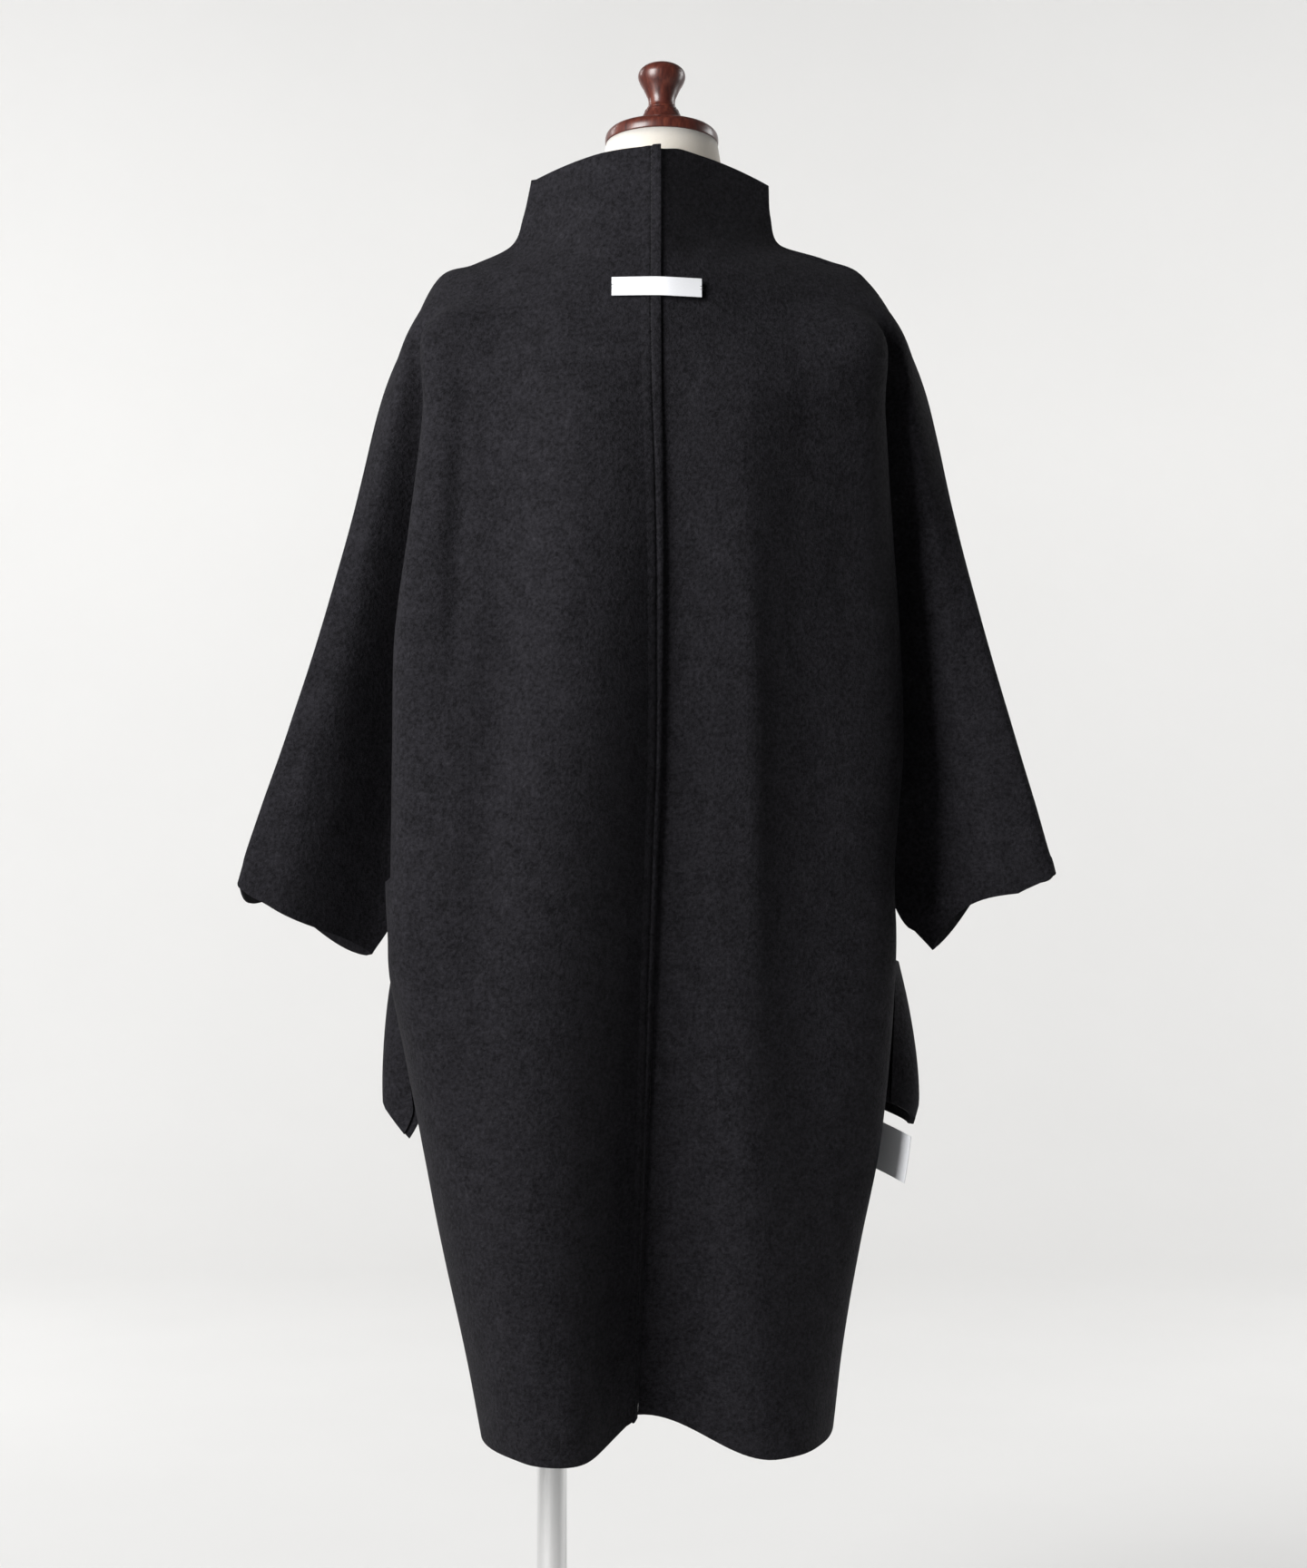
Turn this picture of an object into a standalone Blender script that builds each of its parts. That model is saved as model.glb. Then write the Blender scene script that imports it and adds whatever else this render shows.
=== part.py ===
"""Cape coat in thick felted wool, hung inside out on a limbless dress form.

Metres, +Z up. The coat faces -Y, so its back is at +Y, and the wearer's left is at +X.
The origin is on the floor, under the middle of the stand's base plate.
Each panel is one sheet: a body part from the centre seam to the fold under the arm, and a sleeve part from
that fold to the overarm seam. They share the fold down to the underarm point and part below it.
"""

import math
from collections import namedtuple

import bmesh
import bpy
import numpy as np

MM = 0.001

# Cloth
CLOTH = 2.0 * MM
SEAM_GAP = 0.3 * MM
FRONT_LIFT = CLOTH + 0.6 * MM
STRIP_WIDTH = 8.4 * MM
STRIP_THICK = 1.5 * MM
STRIP_LIFT = 0.5 * MM
STRIP_STEPS = 3
LABEL_THICK = 1.0 * MM
MOST_MITRE = 1.5

# Faces across each span of a ring, and rows between two rings
SPAN_FACES = (4, 2, 3, 3, 3, 3)
ROW_STEPS = 2
OVERLAP_COLUMNS = 1
LIFT_BY_COLUMN = (1.0, 1.0, 1.0, 0.7, 0.3)

# Places of a plain ring's inner points, as shares of its half width
PLAIN_SHARES = (0.42, 0.60, 0.76, 0.86, 0.94)

# Millimetres in every table. Plain rings: collar, neck and shoulders. seam_x is where the back seam runs,
# lean is the slope of the back in plan at that seam, peak is how much the seam stands out as a ridge, tilt
# is how much higher the right side is than the middle, bow and drop are the powers of the arc in plan, fall
# is its power in height, and round is 1 where the arc turns smoothly over the overarm seam.
PlainRing = namedtuple(
    "PlainRing", "shift seam_x lean peak z_mid z_seam tilt half y_back y_front y_seam bow drop fall round"
)
PLAIN_RINGS = (
    PlainRing(0.0, -9.0, 0.10, 0.48, 1443.5, 1422.5, -1.5, 99.5, 62, -82, 0, 1.25, 1.00, 1.9, 0.0),
    PlainRing(2.5, -9.0, 0.10, 0.44, 1404, 1395, 0.0, 103.5, 66, -86, 0, 1.3, 1.00, 1.9, 0.0),
    PlainRing(3.2, -9.0, 0.10, 0.30, 1362, 1371, -0.2, 112.5, 74, -93, -1, 1.5, 0.95, 2.0, 0.3),
    PlainRing(0.0, -8.8, 0.12, 0.18, 1328, 1355.5, 0.4, 147, 87, -105, -2, 1.75, 0.80, 2.0, 0.9),
    PlainRing(-1.5, -9.0, 0.15, 0.06, 1286, 1344.5, 0.0, 177, 101, -118, -3, 2.0, 0.72, 2.0, 1.0),
)

# Folded rings: from the shoulder drop to the underarm.
FoldRing = namedtuple("FoldRing", "shift seam_x y_back y_front z_mid")
FOLD_RINGS = (
    FoldRing(-4.5, -9.4, 110, -128, 1236),
    FoldRing(-4.0, -10.7, 112, -136, 1180),
    FoldRing(-3.2, -11.5, 109, -141, 1100),
    FoldRing(-2.2, -10.9, 104, -143, 1020),
    FoldRing(-0.8, -9.8, 99, -143, 940),
    FoldRing(0.6, -7.6, 96, -142, 878),
    FoldRing(1.6, -5.9, 94, -141, 832),
)

# The overarm seam at each folded ring. The left sleeve hangs further back than the right one.
Overarm = namedtuple("Overarm", "x y z")
OVERARMS = {
    "left": (
        Overarm(202.5, 1, 1301.5),
        Overarm(226, 8, 1243.5),
        Overarm(247.5, 22, 1147.5),
        Overarm(271.5, 34, 1054),
        Overarm(298, 40, 965),
        Overarm(317, 42, 906.5),
        Overarm(330, 43, 865),
    ),
    "right": (
        Overarm(203, -2, 1301.5),
        Overarm(226.5, 3, 1244),
        Overarm(248.5, 10, 1148.5),
        Overarm(273.5, 14, 1055),
        Overarm(300.5, 17, 965.5),
        Overarm(320, 15, 906),
        Overarm(333.5, 11, 864.5),
    ),
}
OVERARM_TURN = 0.65

# Half of each folded ring: its slope in plan at the seam, the lobe beside the seam, the flank, the edge of
# the body, the fold under the arm and the sleeve's ridge. The back is turned to the right, so its left half
# stands out.
Fold = namedtuple(
    "Fold", "lean x_lobe y_lobe x_flank y_flank x_edge y_edge x_fold y_fold x_ridge y_ridge"
)
BACK_FOLDS = {
    "left": (
        Fold(0.30, 60, 119, 128, 92, 188, 72, 190, 46, 198, 38),
        Fold(0.50, 62, 127, 130, 100, 187, 86, 188, 34, 213, 40),
        Fold(0.70, 66, 135, 126, 110, 194, 102, 194, 12, 237, 32),
        Fold(0.90, 77, 142, 115, 127, 203, 116, 198, 0, 260, 38),
        Fold(1.00, 84, 147, 116, 137, 201, 122, 202, -8, 283, 44),
        Fold(1.00, 90, 150, 118, 143, 198, 127, 205, -12, 297, 47),
        Fold(1.00, 94, 152, 121, 146, 196, 131, 207, -14, 307, 48),
    ),
    "right": (
        Fold(0.20, 80, 102, 118, 89, 186, 60, 188, 42, 197, 36),
        Fold(0.25, 79, 106, 114, 91, 190, 48, 188, 28, 213, 34),
        Fold(0.30, 78, 105, 112, 89, 197, 38, 199, 6, 234, 22),
        Fold(0.30, 78, 100, 112, 84, 205, 33, 205, -6, 254, 18),
        Fold(0.30, 78, 95, 112, 79, 209, 30, 206, -13, 272, 17),
        Fold(0.30, 79, 92, 113, 76, 206, 29, 204, -14, 290, 13),
        Fold(0.30, 80, 90, 114, 74, 204, 28, 203, -15, 300, 9),
    ),
}
FRONT_FOLDS = (
    Fold(0.0, 84, -123, 125, -114, 166, -92, 184, -70, 197, -46),
    Fold(0.0, 90, -132, 138, -119, 186, -86, 199, -61, 213, -45),
    Fold(0.0, 96, -139, 149, -122, 202, -80, 203, -43, 229, -47),
    Fold(0.0, 98, -143, 153, -125, 209, -77, 201, -34, 246, -54),
    Fold(0.0, 98, -145, 155, -125, 212, -74, 196, -27, 266, -62),
    Fold(0.0, 98, -145, 155, -124, 212, -71, 191, -23, 281, -69),
    Fold(0.0, 98, -145, 154, -123, 210, -68, 187, -19.5, 291, -73),
)

# Body rings below the underarm. tilt lifts the right side and lowers the left.
BodyRing = namedtuple("BodyRing", "shift seam_x y_back y_front z_mid z_side tilt x_side")
BODY_RINGS = (
    BodyRing(2.4, -4.8, 93, -140, 800, 800, 0.0, 198),
    BodyRing(2.6, -3.5, 91, -139, 764, 764, 0.0, 203),
    BodyRing(0.0, -1.4, 88, -137, 701, 700, 0.0, 197),
    BodyRing(-2.4, 1.3, 85, -133, 623, 620, 0.0, 188),
    BodyRing(-2.4, 4.2, 82, -128, 546, 540, 0.0, 173.5),
    BodyRing(-4.4, 7.0, 79, -123, 471, 458.5, -0.5, 158),
    BodyRing(-8.0, 10.0, 76, -118, 406, 386, -1.5, 146),
)

# Half of each body ring: its slope in plan at the seam, the lobe, the flank and the edge.
Body = namedtuple("Body", "lean x_lobe y_lobe z_lobe x_flank y_flank x_edge y_edge")
BACK_BODIES = {
    "left": (
        Body(1.00, 96, 152, 799, 123, 147, 194, 133),
        Body(1.05, 98, 153, 762, 125, 148, 188, 134),
        Body(1.10, 98, 155, 698, 129, 150, 175, 133),
        Body(1.15, 94, 157, 618, 129, 151, 159, 133),
        Body(1.20, 89, 158, 537, 118, 154, 142, 137),
        Body(1.25, 85, 158, 456, 108, 155, 126, 140),
        Body(1.25, 81, 158, 379, 100, 155, 117, 142),
    ),
    "right": (
        Body(0.30, 80, 89, 799, 114, 73, 207, 27),
        Body(0.30, 82, 88, 762, 115, 72, 206, 27),
        Body(0.30, 85, 87, 698, 117, 71, 199, 27),
        Body(0.30, 88, 87, 617, 118, 71, 187, 28),
        Body(0.35, 91, 88, 535, 119, 73, 169, 32),
        Body(0.40, 93, 89, 453, 118, 76, 151, 38),
        Body(0.45, 94, 90, 372, 114, 80, 136, 46),
    ),
}
FRONT_BODIES = (
    Body(0.0, 97, -145, 799, 153, -123, 209, -68),
    Body(0.0, 97, -145, 762, 152, -123, 207, -66),
    Body(0.0, 95, -145, 698, 147, -122, 199, -64),
    Body(0.0, 93, -144, 618, 140, -121, 187, -62),
    Body(0.0, 91, -142, 537, 130, -119, 170, -60),
    Body(0.0, 90, -140, 456, 121, -117, 153, -58),
    Body(0.0, 89, -138, 379, 114, -115, 140, -56),
)
SIDE_Y = -16 * MM

# How soon the hem falls from the centre seam towards the lobe
HEM_POWER = {"left": 0.45, "right": 0.97}

# How late the hem rises from the lobe towards the side seam
HEM_RISE_POWER = 1.8

# Sleeve rings below the underarm, down to the cuff: underarm seam, ridge and overarm seam. Between underarm
# and ridge the cuff edge is lifted in the back and sags in the front. It falls from the overarm at a slope.
# The lift powers put the highest or lowest place of the edge nearer the underarm or nearer the ridge.
SleeveRing = namedtuple(
    "SleeveRing", "x_under z_under x_ridge z_ridge y_back y_front lift sag x_seam z_seam y_seam slope"
)
SLEEVE_RINGS = {
    "left": (
        SleeveRing(216, 806, 310, 837, 47, -75, 2, 4, 335, 853, 43, 0.4),
        SleeveRing(234, 776.5, 312, 818, 45, -77, 4, 9, 339, 840, 42, 0.9),
    ),
    "right": (
        SleeveRing(214, 808, 304, 841, 8, -75, 7, -8, 335, 857.5, 10.5, 0.2),
        SleeveRing(238, 780, 308, 828.5, 6, -77, 17, -20, 338, 847, 10, 0.5),
    ),
}
LIFT_POWERS = {
    ("back", "left"): 0.7, ("back", "right"): 0.7, ("front", "left"): 0.7, ("front", "right"): 2.0,
}

# Pocket bags: z of the top, of the mouth's end and of the low corner, the way round the hip, how far the bag
# swings out of the side seam at its top, lower down and at the low corner, and the rise of its low edge.
PocketSize = namedtuple(
    "PocketSize", "z_top z_mouth_end z_corner reach swing_top swing_low corner_out rise"
)
POCKETS = {
    "left": PocketSize(772, 648, 624, 105, 1, 31, 15, 34),
    "right": PocketSize(770, 652, 630, 105, 1, 29, 20, 4),
}
POCKET_RISE_END = 0.3
POCKET_TOP_FALL = 22
POCKET_ROWS = 7
POCKET_COLUMNS = 6
POCKET_PEAK = 0.22
POCKET_CLEAR = 1.2

# Labels. rise is how far the neck label stands off the back at its ends and, more, at its middle; the care
# label stands out of its seam, turns behind and droops.
NeckLabel = namedtuple("NeckLabel", "x z width height rise_end rise_mid columns rows")
NECK_LABEL = NeckLabel(-6.0, 1322.5, 74.0, 17.0, 0.6, 3.1, 8, 2)
CareLabel = namedtuple("CareLabel", "z_top z_low clear out turn behind droop columns rows")
CARE_LABEL = CareLabel(636.0, 597.0, 2.0, 22.4, 0.9, 36.0, 9.0, 4, 3)

# Dress form, off the coat's own middle line, with a tilted neck top
FORM_X = -10 * MM
FormRing = namedtuple("FormRing", "z half y_back y_front power")
FORM_RINGS = (
    FormRing(655, 144, 66, -106, 2.3),
    FormRing(662, 152, 70, -112, 2.3),
    FormRing(720, 160, 76, -118, 2.3),
    FormRing(800, 163, 78, -121, 2.3),
    FormRing(900, 146, 72, -113, 2.2),
    FormRing(990, 121, 70, -101, 2.2),
    FormRing(1080, 130, 84, -110, 2.2),
    FormRing(1160, 141, 98, -119, 2.3),
    FormRing(1240, 150, 94, -108, 2.4),
    FormRing(1295, 152, 76, -94, 2.4),
    FormRing(1322, 142, 62, -80, 2.2),
    FormRing(1338, 122, 55, -71, 2.1),
    FormRing(1352, 88, 50, -63, 2.0),
    FormRing(1370, 60, 49, -56, 2.0),
    FormRing(1395, 54, 48, -54, 2.0),
    FormRing(1425, 52, 44, -55, 2.0),
)
FORM_SIDES = 36
NECK_TILT = math.radians(8.6)
NECK_TOP_Z = 1456.6 * MM
NECK_TOP_Y = -11 * MM
NECK_RADIUS = 47 * MM

# Turned wooden cap and finial: radius and height of each ring above the neck's top
CAP_PROFILE = ((47.5, 0.0), (47.5, 5.5), (46.0, 9.0), (42.0, 12.0), (32.0, 14.0))
FINIAL_PROFILE = (
    (24.0, 0.0), (22.5, 2.5), (18.4, 7.0), (14.8, 14.0), (12.0, 18.0), (11.2, 21.5), (11.5, 25.5),
    (13.2, 30.0), (18.4, 40.2), (19.9, 44.7), (19.5, 48.7), (17.2, 52.2), (12.5, 55.2), (6.0, 56.5),
)
TURNED_SIDES = 28

# Stand
BASE_RADIUS = 170 * MM
BASE_THICK = 11 * MM
BASE_CHAMFER = 3 * MM
POLE_X = 82 * MM
POLE_RADIUS = 12.7 * MM
SOCKET_RADIUS = 21 * MM
SOCKET_HEIGHT = 34 * MM
POLE_SIDES = 24
BASE_SIDES = 48

SIDES = {"left": 1, "right": -1}
FACES = {"back": 1, "front": -1}


def seam_start(ring, face):
    """Where a ring starts at the centre of the back or of the front, in X and Y."""
    return (ring.seam_x, ring.y_back) if face > 0 else (ring.shift, ring.y_front)


def plain_ring(ring, side, face):
    """Seven points across a plain ring, from the centre seam to the overarm seam, in metres."""
    x_start, y_mid = seam_start(ring, face)
    shares = np.array((0.0, *PLAIN_SHARES, 1.0))
    x = ring.shift + side * ring.half * shares
    x[0] = x_start
    y = ring.y_seam + (y_mid - ring.y_seam) * (1.0 - shares**ring.bow) ** ring.drop
    if face > 0:
        y += ring.lean * x * (1.0 - shares)
    z_seam = ring.z_seam - side * ring.tilt
    z = ring.z_mid + (z_seam - ring.z_mid) * shares**ring.fall
    return np.stack((x, y, z), axis=1) * MM


def fold_ring(ring, fold, overarm, side, face):
    """Seven points across a ring with the underarm fold."""
    x_start, y_mid = seam_start(ring, face)
    half = np.array((0.0, fold.x_lobe, fold.x_flank, fold.x_edge, fold.x_fold, fold.x_ridge, overarm.x))
    x = ring.shift + side * half
    x[0] = x_start
    y = np.array((y_mid, fold.y_lobe, fold.y_flank, fold.y_edge, fold.y_fold, fold.y_ridge, overarm.y))
    z = ring.z_mid + (overarm.z - ring.z_mid) * (half / overarm.x) ** 2
    return np.stack((x, y, z), axis=1) * MM


def body_ring(ring, body, side, face):
    """Five points across the body below the underarm, from the centre seam to the side seam."""
    x_start, y_mid = seam_start(ring, face)
    x = ring.shift + side * np.array((0.0, body.x_lobe, body.x_flank, body.x_edge, ring.x_side))
    x[0] = x_start
    y = np.array((y_mid, body.y_lobe, body.y_flank, body.y_edge, SIDE_Y / MM))
    z_mid = ring.z_mid if face > 0 else body.z_lobe
    z_side = ring.z_side - side * ring.tilt
    z_rises = body.z_lobe + (z_side - body.z_lobe) * (np.arange(4) / 3.0) ** HEM_RISE_POWER
    z = np.array((z_mid, *z_rises))
    return np.stack((x, y, z), axis=1) * MM


def sleeve_ring(ring, side, face):
    """Three points across the sleeve below the underarm: underarm seam, ridge, overarm seam."""
    x = side * np.array((ring.x_under, ring.x_ridge, ring.x_seam))
    y = np.array((SIDE_Y / MM, ring.y_back if face > 0 else ring.y_front, ring.y_seam))
    z = np.array((ring.z_under, ring.z_ridge, ring.z_seam))
    return np.stack((x, y, z), axis=1) * MM


def refined(rings, steps):
    """Rows between rings on smooth curves through the rings' points."""
    rings = np.asarray(rings)
    padded = np.concatenate((2 * rings[:1] - rings[1:2], rings, 2 * rings[-1:] - rings[-2:-1]))
    rows = []
    for i in range(1, len(padded) - 2):
        before, start, end, after = padded[i - 1 : i + 3]
        for step in range(steps):
            t = step / steps
            rows.append(
                start
                + 0.5 * t * (end - before)
                + t * t * (before - 2.5 * start + 2 * end - 0.5 * after)
                + t**3 * (1.5 * (start - end) + 0.5 * (after - before))
            )
    rows.append(rings[-1])
    return np.array(rows)


def curve(points, faces, start=None, end=None):
    """A smooth curve through the points, with the given number of faces in each span."""
    points = np.asarray(points)
    steps = np.diff(points, axis=0)
    lengths = np.linalg.norm(steps, axis=1)[:, None]
    along = steps / lengths
    share = lengths[1:] / (lengths[:-1] + lengths[1:])
    slopes = np.empty_like(points)
    slopes[1:-1] = along[:-1] * share + along[1:] * (1.0 - share)
    slopes[0] = along[0] if start is None else start
    slopes[-1] = along[-1] if end is None else end
    found = [points[:1]]
    for i, count in enumerate(faces):
        t = (np.arange(1, count + 1) / count)[:, None]
        found.append(
            (2 * t**3 - 3 * t**2 + 1) * points[i]
            + (t**3 - 2 * t**2 + t) * slopes[i] * lengths[i]
            + (3 * t**2 - 2 * t**3) * points[i + 1]
            + (t**3 - t**2) * slopes[i + 1] * lengths[i]
        )
    return np.concatenate(found)


def slope_between(before, point, after):
    """The slope of a smooth curve at a point between two others, short where it turns sharply."""
    come = point - before
    go = after - point
    share = np.linalg.norm(go) / (np.linalg.norm(come) + np.linalg.norm(go))
    return unit(come) * share + unit(go) * (1.0 - share)


def blended(along, direction, share):
    return direction * share + along * (1.0 - share)


def unit(vector):
    return vector / np.linalg.norm(vector)


def panel_rows(side_name, face_name, span_faces, row_steps):
    """The body rows and the sleeve rows of one panel, each a list of curves of points."""
    side = SIDES[side_name]
    face = FACES[face_name]
    folds = BACK_FOLDS[side_name] if face > 0 else FRONT_FOLDS
    bodies = BACK_BODIES[side_name] if face > 0 else FRONT_BODIES
    shared = [plain_ring(ring, side, face) for ring in PLAIN_RINGS]
    overarms = OVERARMS[side_name]
    shared += [fold_ring(*sizes, side, face) for sizes in zip(FOLD_RINGS, folds, overarms)]
    body = [ring[:5] for ring in shared]
    body += [body_ring(ring, half, side, face) for ring, half in zip(BODY_RINGS, bodies)]
    sleeve = [ring[4:] for ring in shared]
    sleeve += [sleeve_ring(ring, side, face) for ring in SLEEVE_RINGS[side_name]]
    rounds = [ring.round for ring in PLAIN_RINGS] + [1.0] * (len(sleeve) - len(PLAIN_RINGS))
    body = refined(body, row_steps)
    sleeve = refined(sleeve, row_steps)
    rounds = refined(np.array(rounds)[:, None], row_steps)[:, 0]
    leans = [side * ring.lean - ring.peak for ring in PLAIN_RINGS]
    leans += [side * half.lean for half in folds + bodies]
    leans = refined(np.array(leans)[:, None], row_steps)[:, 0] * (face > 0)
    below = [(0.0, 0.0)]
    below += [(ring.lift if face > 0 else -ring.sag, ring.slope) for ring in SLEEVE_RINGS[side_name]]
    below = refined(np.array(below), row_steps)
    lift_power = LIFT_POWERS[face_name, side_name]
    last_shared = (len(shared) - 1) * row_steps
    forward = np.array((0.0, -face, 0.0))
    body_rows = []
    sleeve_rows = []
    for i, row in enumerate(body):
        outward = np.array((side, leans[i], 0.0))
        if i <= last_shared:
            points = np.concatenate((row, sleeve[i][1:]))
            over = blended(unit(points[-1] - points[-2]), forward * OVERARM_TURN, rounds[i])
            whole = curve(points, span_faces, outward, over)
            at_fold = sum(span_faces[:4])
            body_rows.append(whole[: at_fold + 1])
            sleeve_rows.append(whole[at_fold:])
            through_fold = slope_between(*points[3:6])
        else:
            share = min(1.0, (i - last_shared) / (2 * row_steps))
            turn = blended(unit(row[-1] - row[-2]), forward, share)
            hung = curve(row, span_faces[:4], outward, turn)
            across = np.arange(span_faces[0] + 1) / span_faces[0]
            valley = 0.5 + 0.5 * np.cos(math.pi * across ** HEM_POWER[side_name])
            hung[: span_faces[0] + 1, 2] = row[1, 2] + (row[0, 2] - row[1, 2]) * valley
            body_rows.append(hung)
    for i in range(last_shared + 1, len(sleeve)):
        lift, slope = below[i - last_shared]
        fade = 1.0 - (i - last_shared) / (len(sleeve) - 1 - last_shared)
        inner = blended(unit(sleeve[i][1] - sleeve[i][0]), through_fold, fade)
        whole = curve(sleeve[i], span_faces[4:], inner, forward * OVERARM_TURN + np.array((0.0, 0.0, slope)))
        across = np.minimum(np.arange(len(whole)) / span_faces[4], 1.0)
        whole[:, 2] += lift * MM * np.sin(math.pi * across**lift_power)
        sleeve_rows.append(whole)
    return np.array(body_rows), np.array(sleeve_rows), last_shared


def grid_quads(index, flip):
    """Quads over a grid of point numbers, rows running down."""
    a, b = index[:-1, :-1].ravel(), index[:-1, 1:].ravel()
    c, d = index[1:, 1:].ravel(), index[1:, :-1].ravel()
    quads = np.stack((a, d, c, b), axis=1)
    return quads[:, ::-1] if flip else quads


def normals_of(points, quads):
    """A unit normal at each point, from the quads around it."""
    across = points[quads[:, 2]] - points[quads[:, 0]]
    along = points[quads[:, 3]] - points[quads[:, 1]]
    normals = np.zeros_like(points)
    for corner in range(4):
        np.add.at(normals, quads[:, corner], np.cross(across, along))
    return normals / np.linalg.norm(normals, axis=1, keepdims=True)


def flattened(normals, rows, axis):
    """Normals at a seam turned into the seam's plane, longer where that cuts the wall slantwise."""
    flat = normals[rows].copy()
    flat[:, axis] = 0.0
    size = np.linalg.norm(flat, axis=1, keepdims=True)
    normals[rows] = flat / size * np.minimum(1.0 / size, MOST_MITRE)


class Panel:
    """One cut piece of cloth: points on its outer side, quads, and normals for its wall."""

    def __init__(self, side_name, face_name, span_faces=SPAN_FACES, row_steps=ROW_STEPS):
        side = SIDES[side_name]
        face = FACES[face_name]
        body, sleeve, last_shared = panel_rows(side_name, face_name, span_faces, row_steps)
        self.columns = body.shape[1]
        extra = None
        if face < 0:
            other = {"left": "right", "right": "left"}[side_name]
            beyond = panel_rows(other, face_name, span_faces, row_steps)[0]
            extra = beyond[:, OVERLAP_COLUMNS:0:-1]
            body = np.concatenate((extra, body), axis=1)
        rows, columns = body.shape[:2]
        self.body_index = np.arange(rows * columns).reshape(rows, columns)
        sleeve_index = np.empty(sleeve.shape[:2], int)
        sleeve_index[: last_shared + 1, 0] = self.body_index[: last_shared + 1, -1]
        fresh = np.ones(sleeve.shape[:2], bool)
        fresh[: last_shared + 1, 0] = False
        sleeve_index[fresh] = rows * columns + np.arange(fresh.sum())
        self.sleeve_index = sleeve_index
        self.points = np.concatenate((body.reshape(-1, 3), sleeve[fresh]))
        flip = side * face > 0
        self.quads = np.concatenate((grid_quads(self.body_index, flip), grid_quads(sleeve_index, flip)))
        self.normals = normals_of(self.points, self.quads)
        self.side_seam = self.body_index[last_shared + 1 :, -1]
        self.under_seam = sleeve_index[last_shared + 1 :, 0]
        self.over_seam = sleeve_index[:, -1]
        self.centre = self.body_index[:, 0]
        low_seams = np.concatenate((self.side_seam, self.under_seam))
        apart = np.maximum(face * (self.points[low_seams, 1] - SIDE_Y), 0.0)
        self.points[low_seams, 1] = SIDE_Y + face * apart
        seams = np.concatenate((low_seams, self.over_seam))
        self.points[seams, 1] += face * SEAM_GAP / 2
        flattened(self.normals, seams, 1)
        if face > 0:
            self.points[self.centre, 0] += side * SEAM_GAP / 2
            flattened(self.normals, self.centre, 0)
        elif side > 0:
            self.lift_front()

    def lift_front(self):
        """Raises the front that laps over the other one."""
        for column, share in enumerate(LIFT_BY_COLUMN):
            rows = self.body_index[:, column]
            self.points[rows] += self.normals[rows] * FRONT_LIFT * share


def add_mesh(name, points, faces, material, smooth=True):
    mesh = bpy.data.meshes.new(name)
    mesh.from_pydata(np.asarray(points).tolist(), [], [list(map(int, face)) for face in faces])
    mesh.validate()
    mesh.materials.append(material)
    if smooth:
        mesh.shade_smooth()
        mesh.set_sharp_from_angle(angle=math.radians(40))
    obj = bpy.data.objects.new(name, mesh)
    bpy.context.scene.collection.objects.link(obj)
    return obj


def add_wall(name, outer, inner, quads, material):
    """A closed wall between two layers of the same quads, each cut along the same diagonal."""
    count = len(outer)
    edges = {}
    for quad in quads:
        for start, end in zip(quad, np.roll(quad, -1)):
            edges[(int(start), int(end))] = True
    rims = [(b, a, a + count, b + count) for a, b in edges if (b, a) not in edges]
    halves = np.concatenate((quads[:, (0, 1, 2)], quads[:, (0, 2, 3)]))
    faces = [*halves, *(halves[:, ::-1] + count), *rims]
    return add_mesh(name, np.concatenate((outer, inner)), faces, material)


def add_turned(name, profile, sides, material, place, turn=0.0):
    """A turned solid from a profile of radius and height, tilted about X and set at a place."""
    rings = len(profile)
    angles = np.arange(sides) * 2 * math.pi / sides
    points = [(r * math.cos(a), r * math.sin(a), h) for r, h in profile for a in angles]
    faces = []
    for i in range(rings - 1):
        for j in range(sides):
            k = (j + 1) % sides
            faces.append((i * sides + j, i * sides + k, (i + 1) * sides + k, (i + 1) * sides + j))
    faces.append(tuple(range(sides))[::-1])
    faces.append(tuple(range((rings - 1) * sides, rings * sides)))
    obj = add_mesh(name, points, faces, material)
    obj.location = place
    obj.rotation_euler = (turn, 0.0, 0.0)
    return obj


def material(name, colour, roughness, metallic=0.0):
    made = bpy.data.materials.new(name)
    made.use_nodes = True
    shader = made.node_tree.nodes["Principled BSDF"]
    shader.inputs["Base Color"].default_value = (*colour, 1.0)
    shader.inputs["Roughness"].default_value = roughness
    shader.inputs["Metallic"].default_value = metallic
    return made


def make_panels(cloth):
    panels = {}
    for face_name in FACES:
        for side_name in SIDES:
            panel = Panel(side_name, face_name)
            inner = panel.points - panel.normals * CLOTH
            add_wall(f"{face_name}_{side_name}", panel.points, inner, panel.quads, cloth)
            panels[face_name, side_name] = panel
    return panels


def way_along(points, normals, distance):
    """The point and normal at a distance along a line of points."""
    way = np.concatenate(([0.0], np.cumsum(np.linalg.norm(np.diff(points, axis=0), axis=1))))
    values = np.concatenate((points, normals), axis=1)
    found = np.array([np.interp(distance, way, values[:, axis]) for axis in range(6)])
    return found[:3], unit(found[3:])


def make_seam_strip(name, panel, rows, flip, cloth):
    """A seam allowance that lies on a panel along one edge, where each of the panel's rows starts."""
    base = []
    normals = []
    for row in rows:
        for step in range(STRIP_STEPS + 1):
            across = STRIP_WIDTH * step / STRIP_STEPS
            point, normal = way_along(panel.points[row], panel.normals[row], across)
            base.append(point)
            normals.append(normal)
    base = np.array(base)
    normals = np.array(normals)
    index = np.arange(len(base)).reshape(-1, STRIP_STEPS + 1)
    inner = base + normals * STRIP_LIFT
    outer = base + normals * (STRIP_LIFT + STRIP_THICK)
    add_wall(name, outer, inner, grid_quads(index, flip), cloth)


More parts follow.
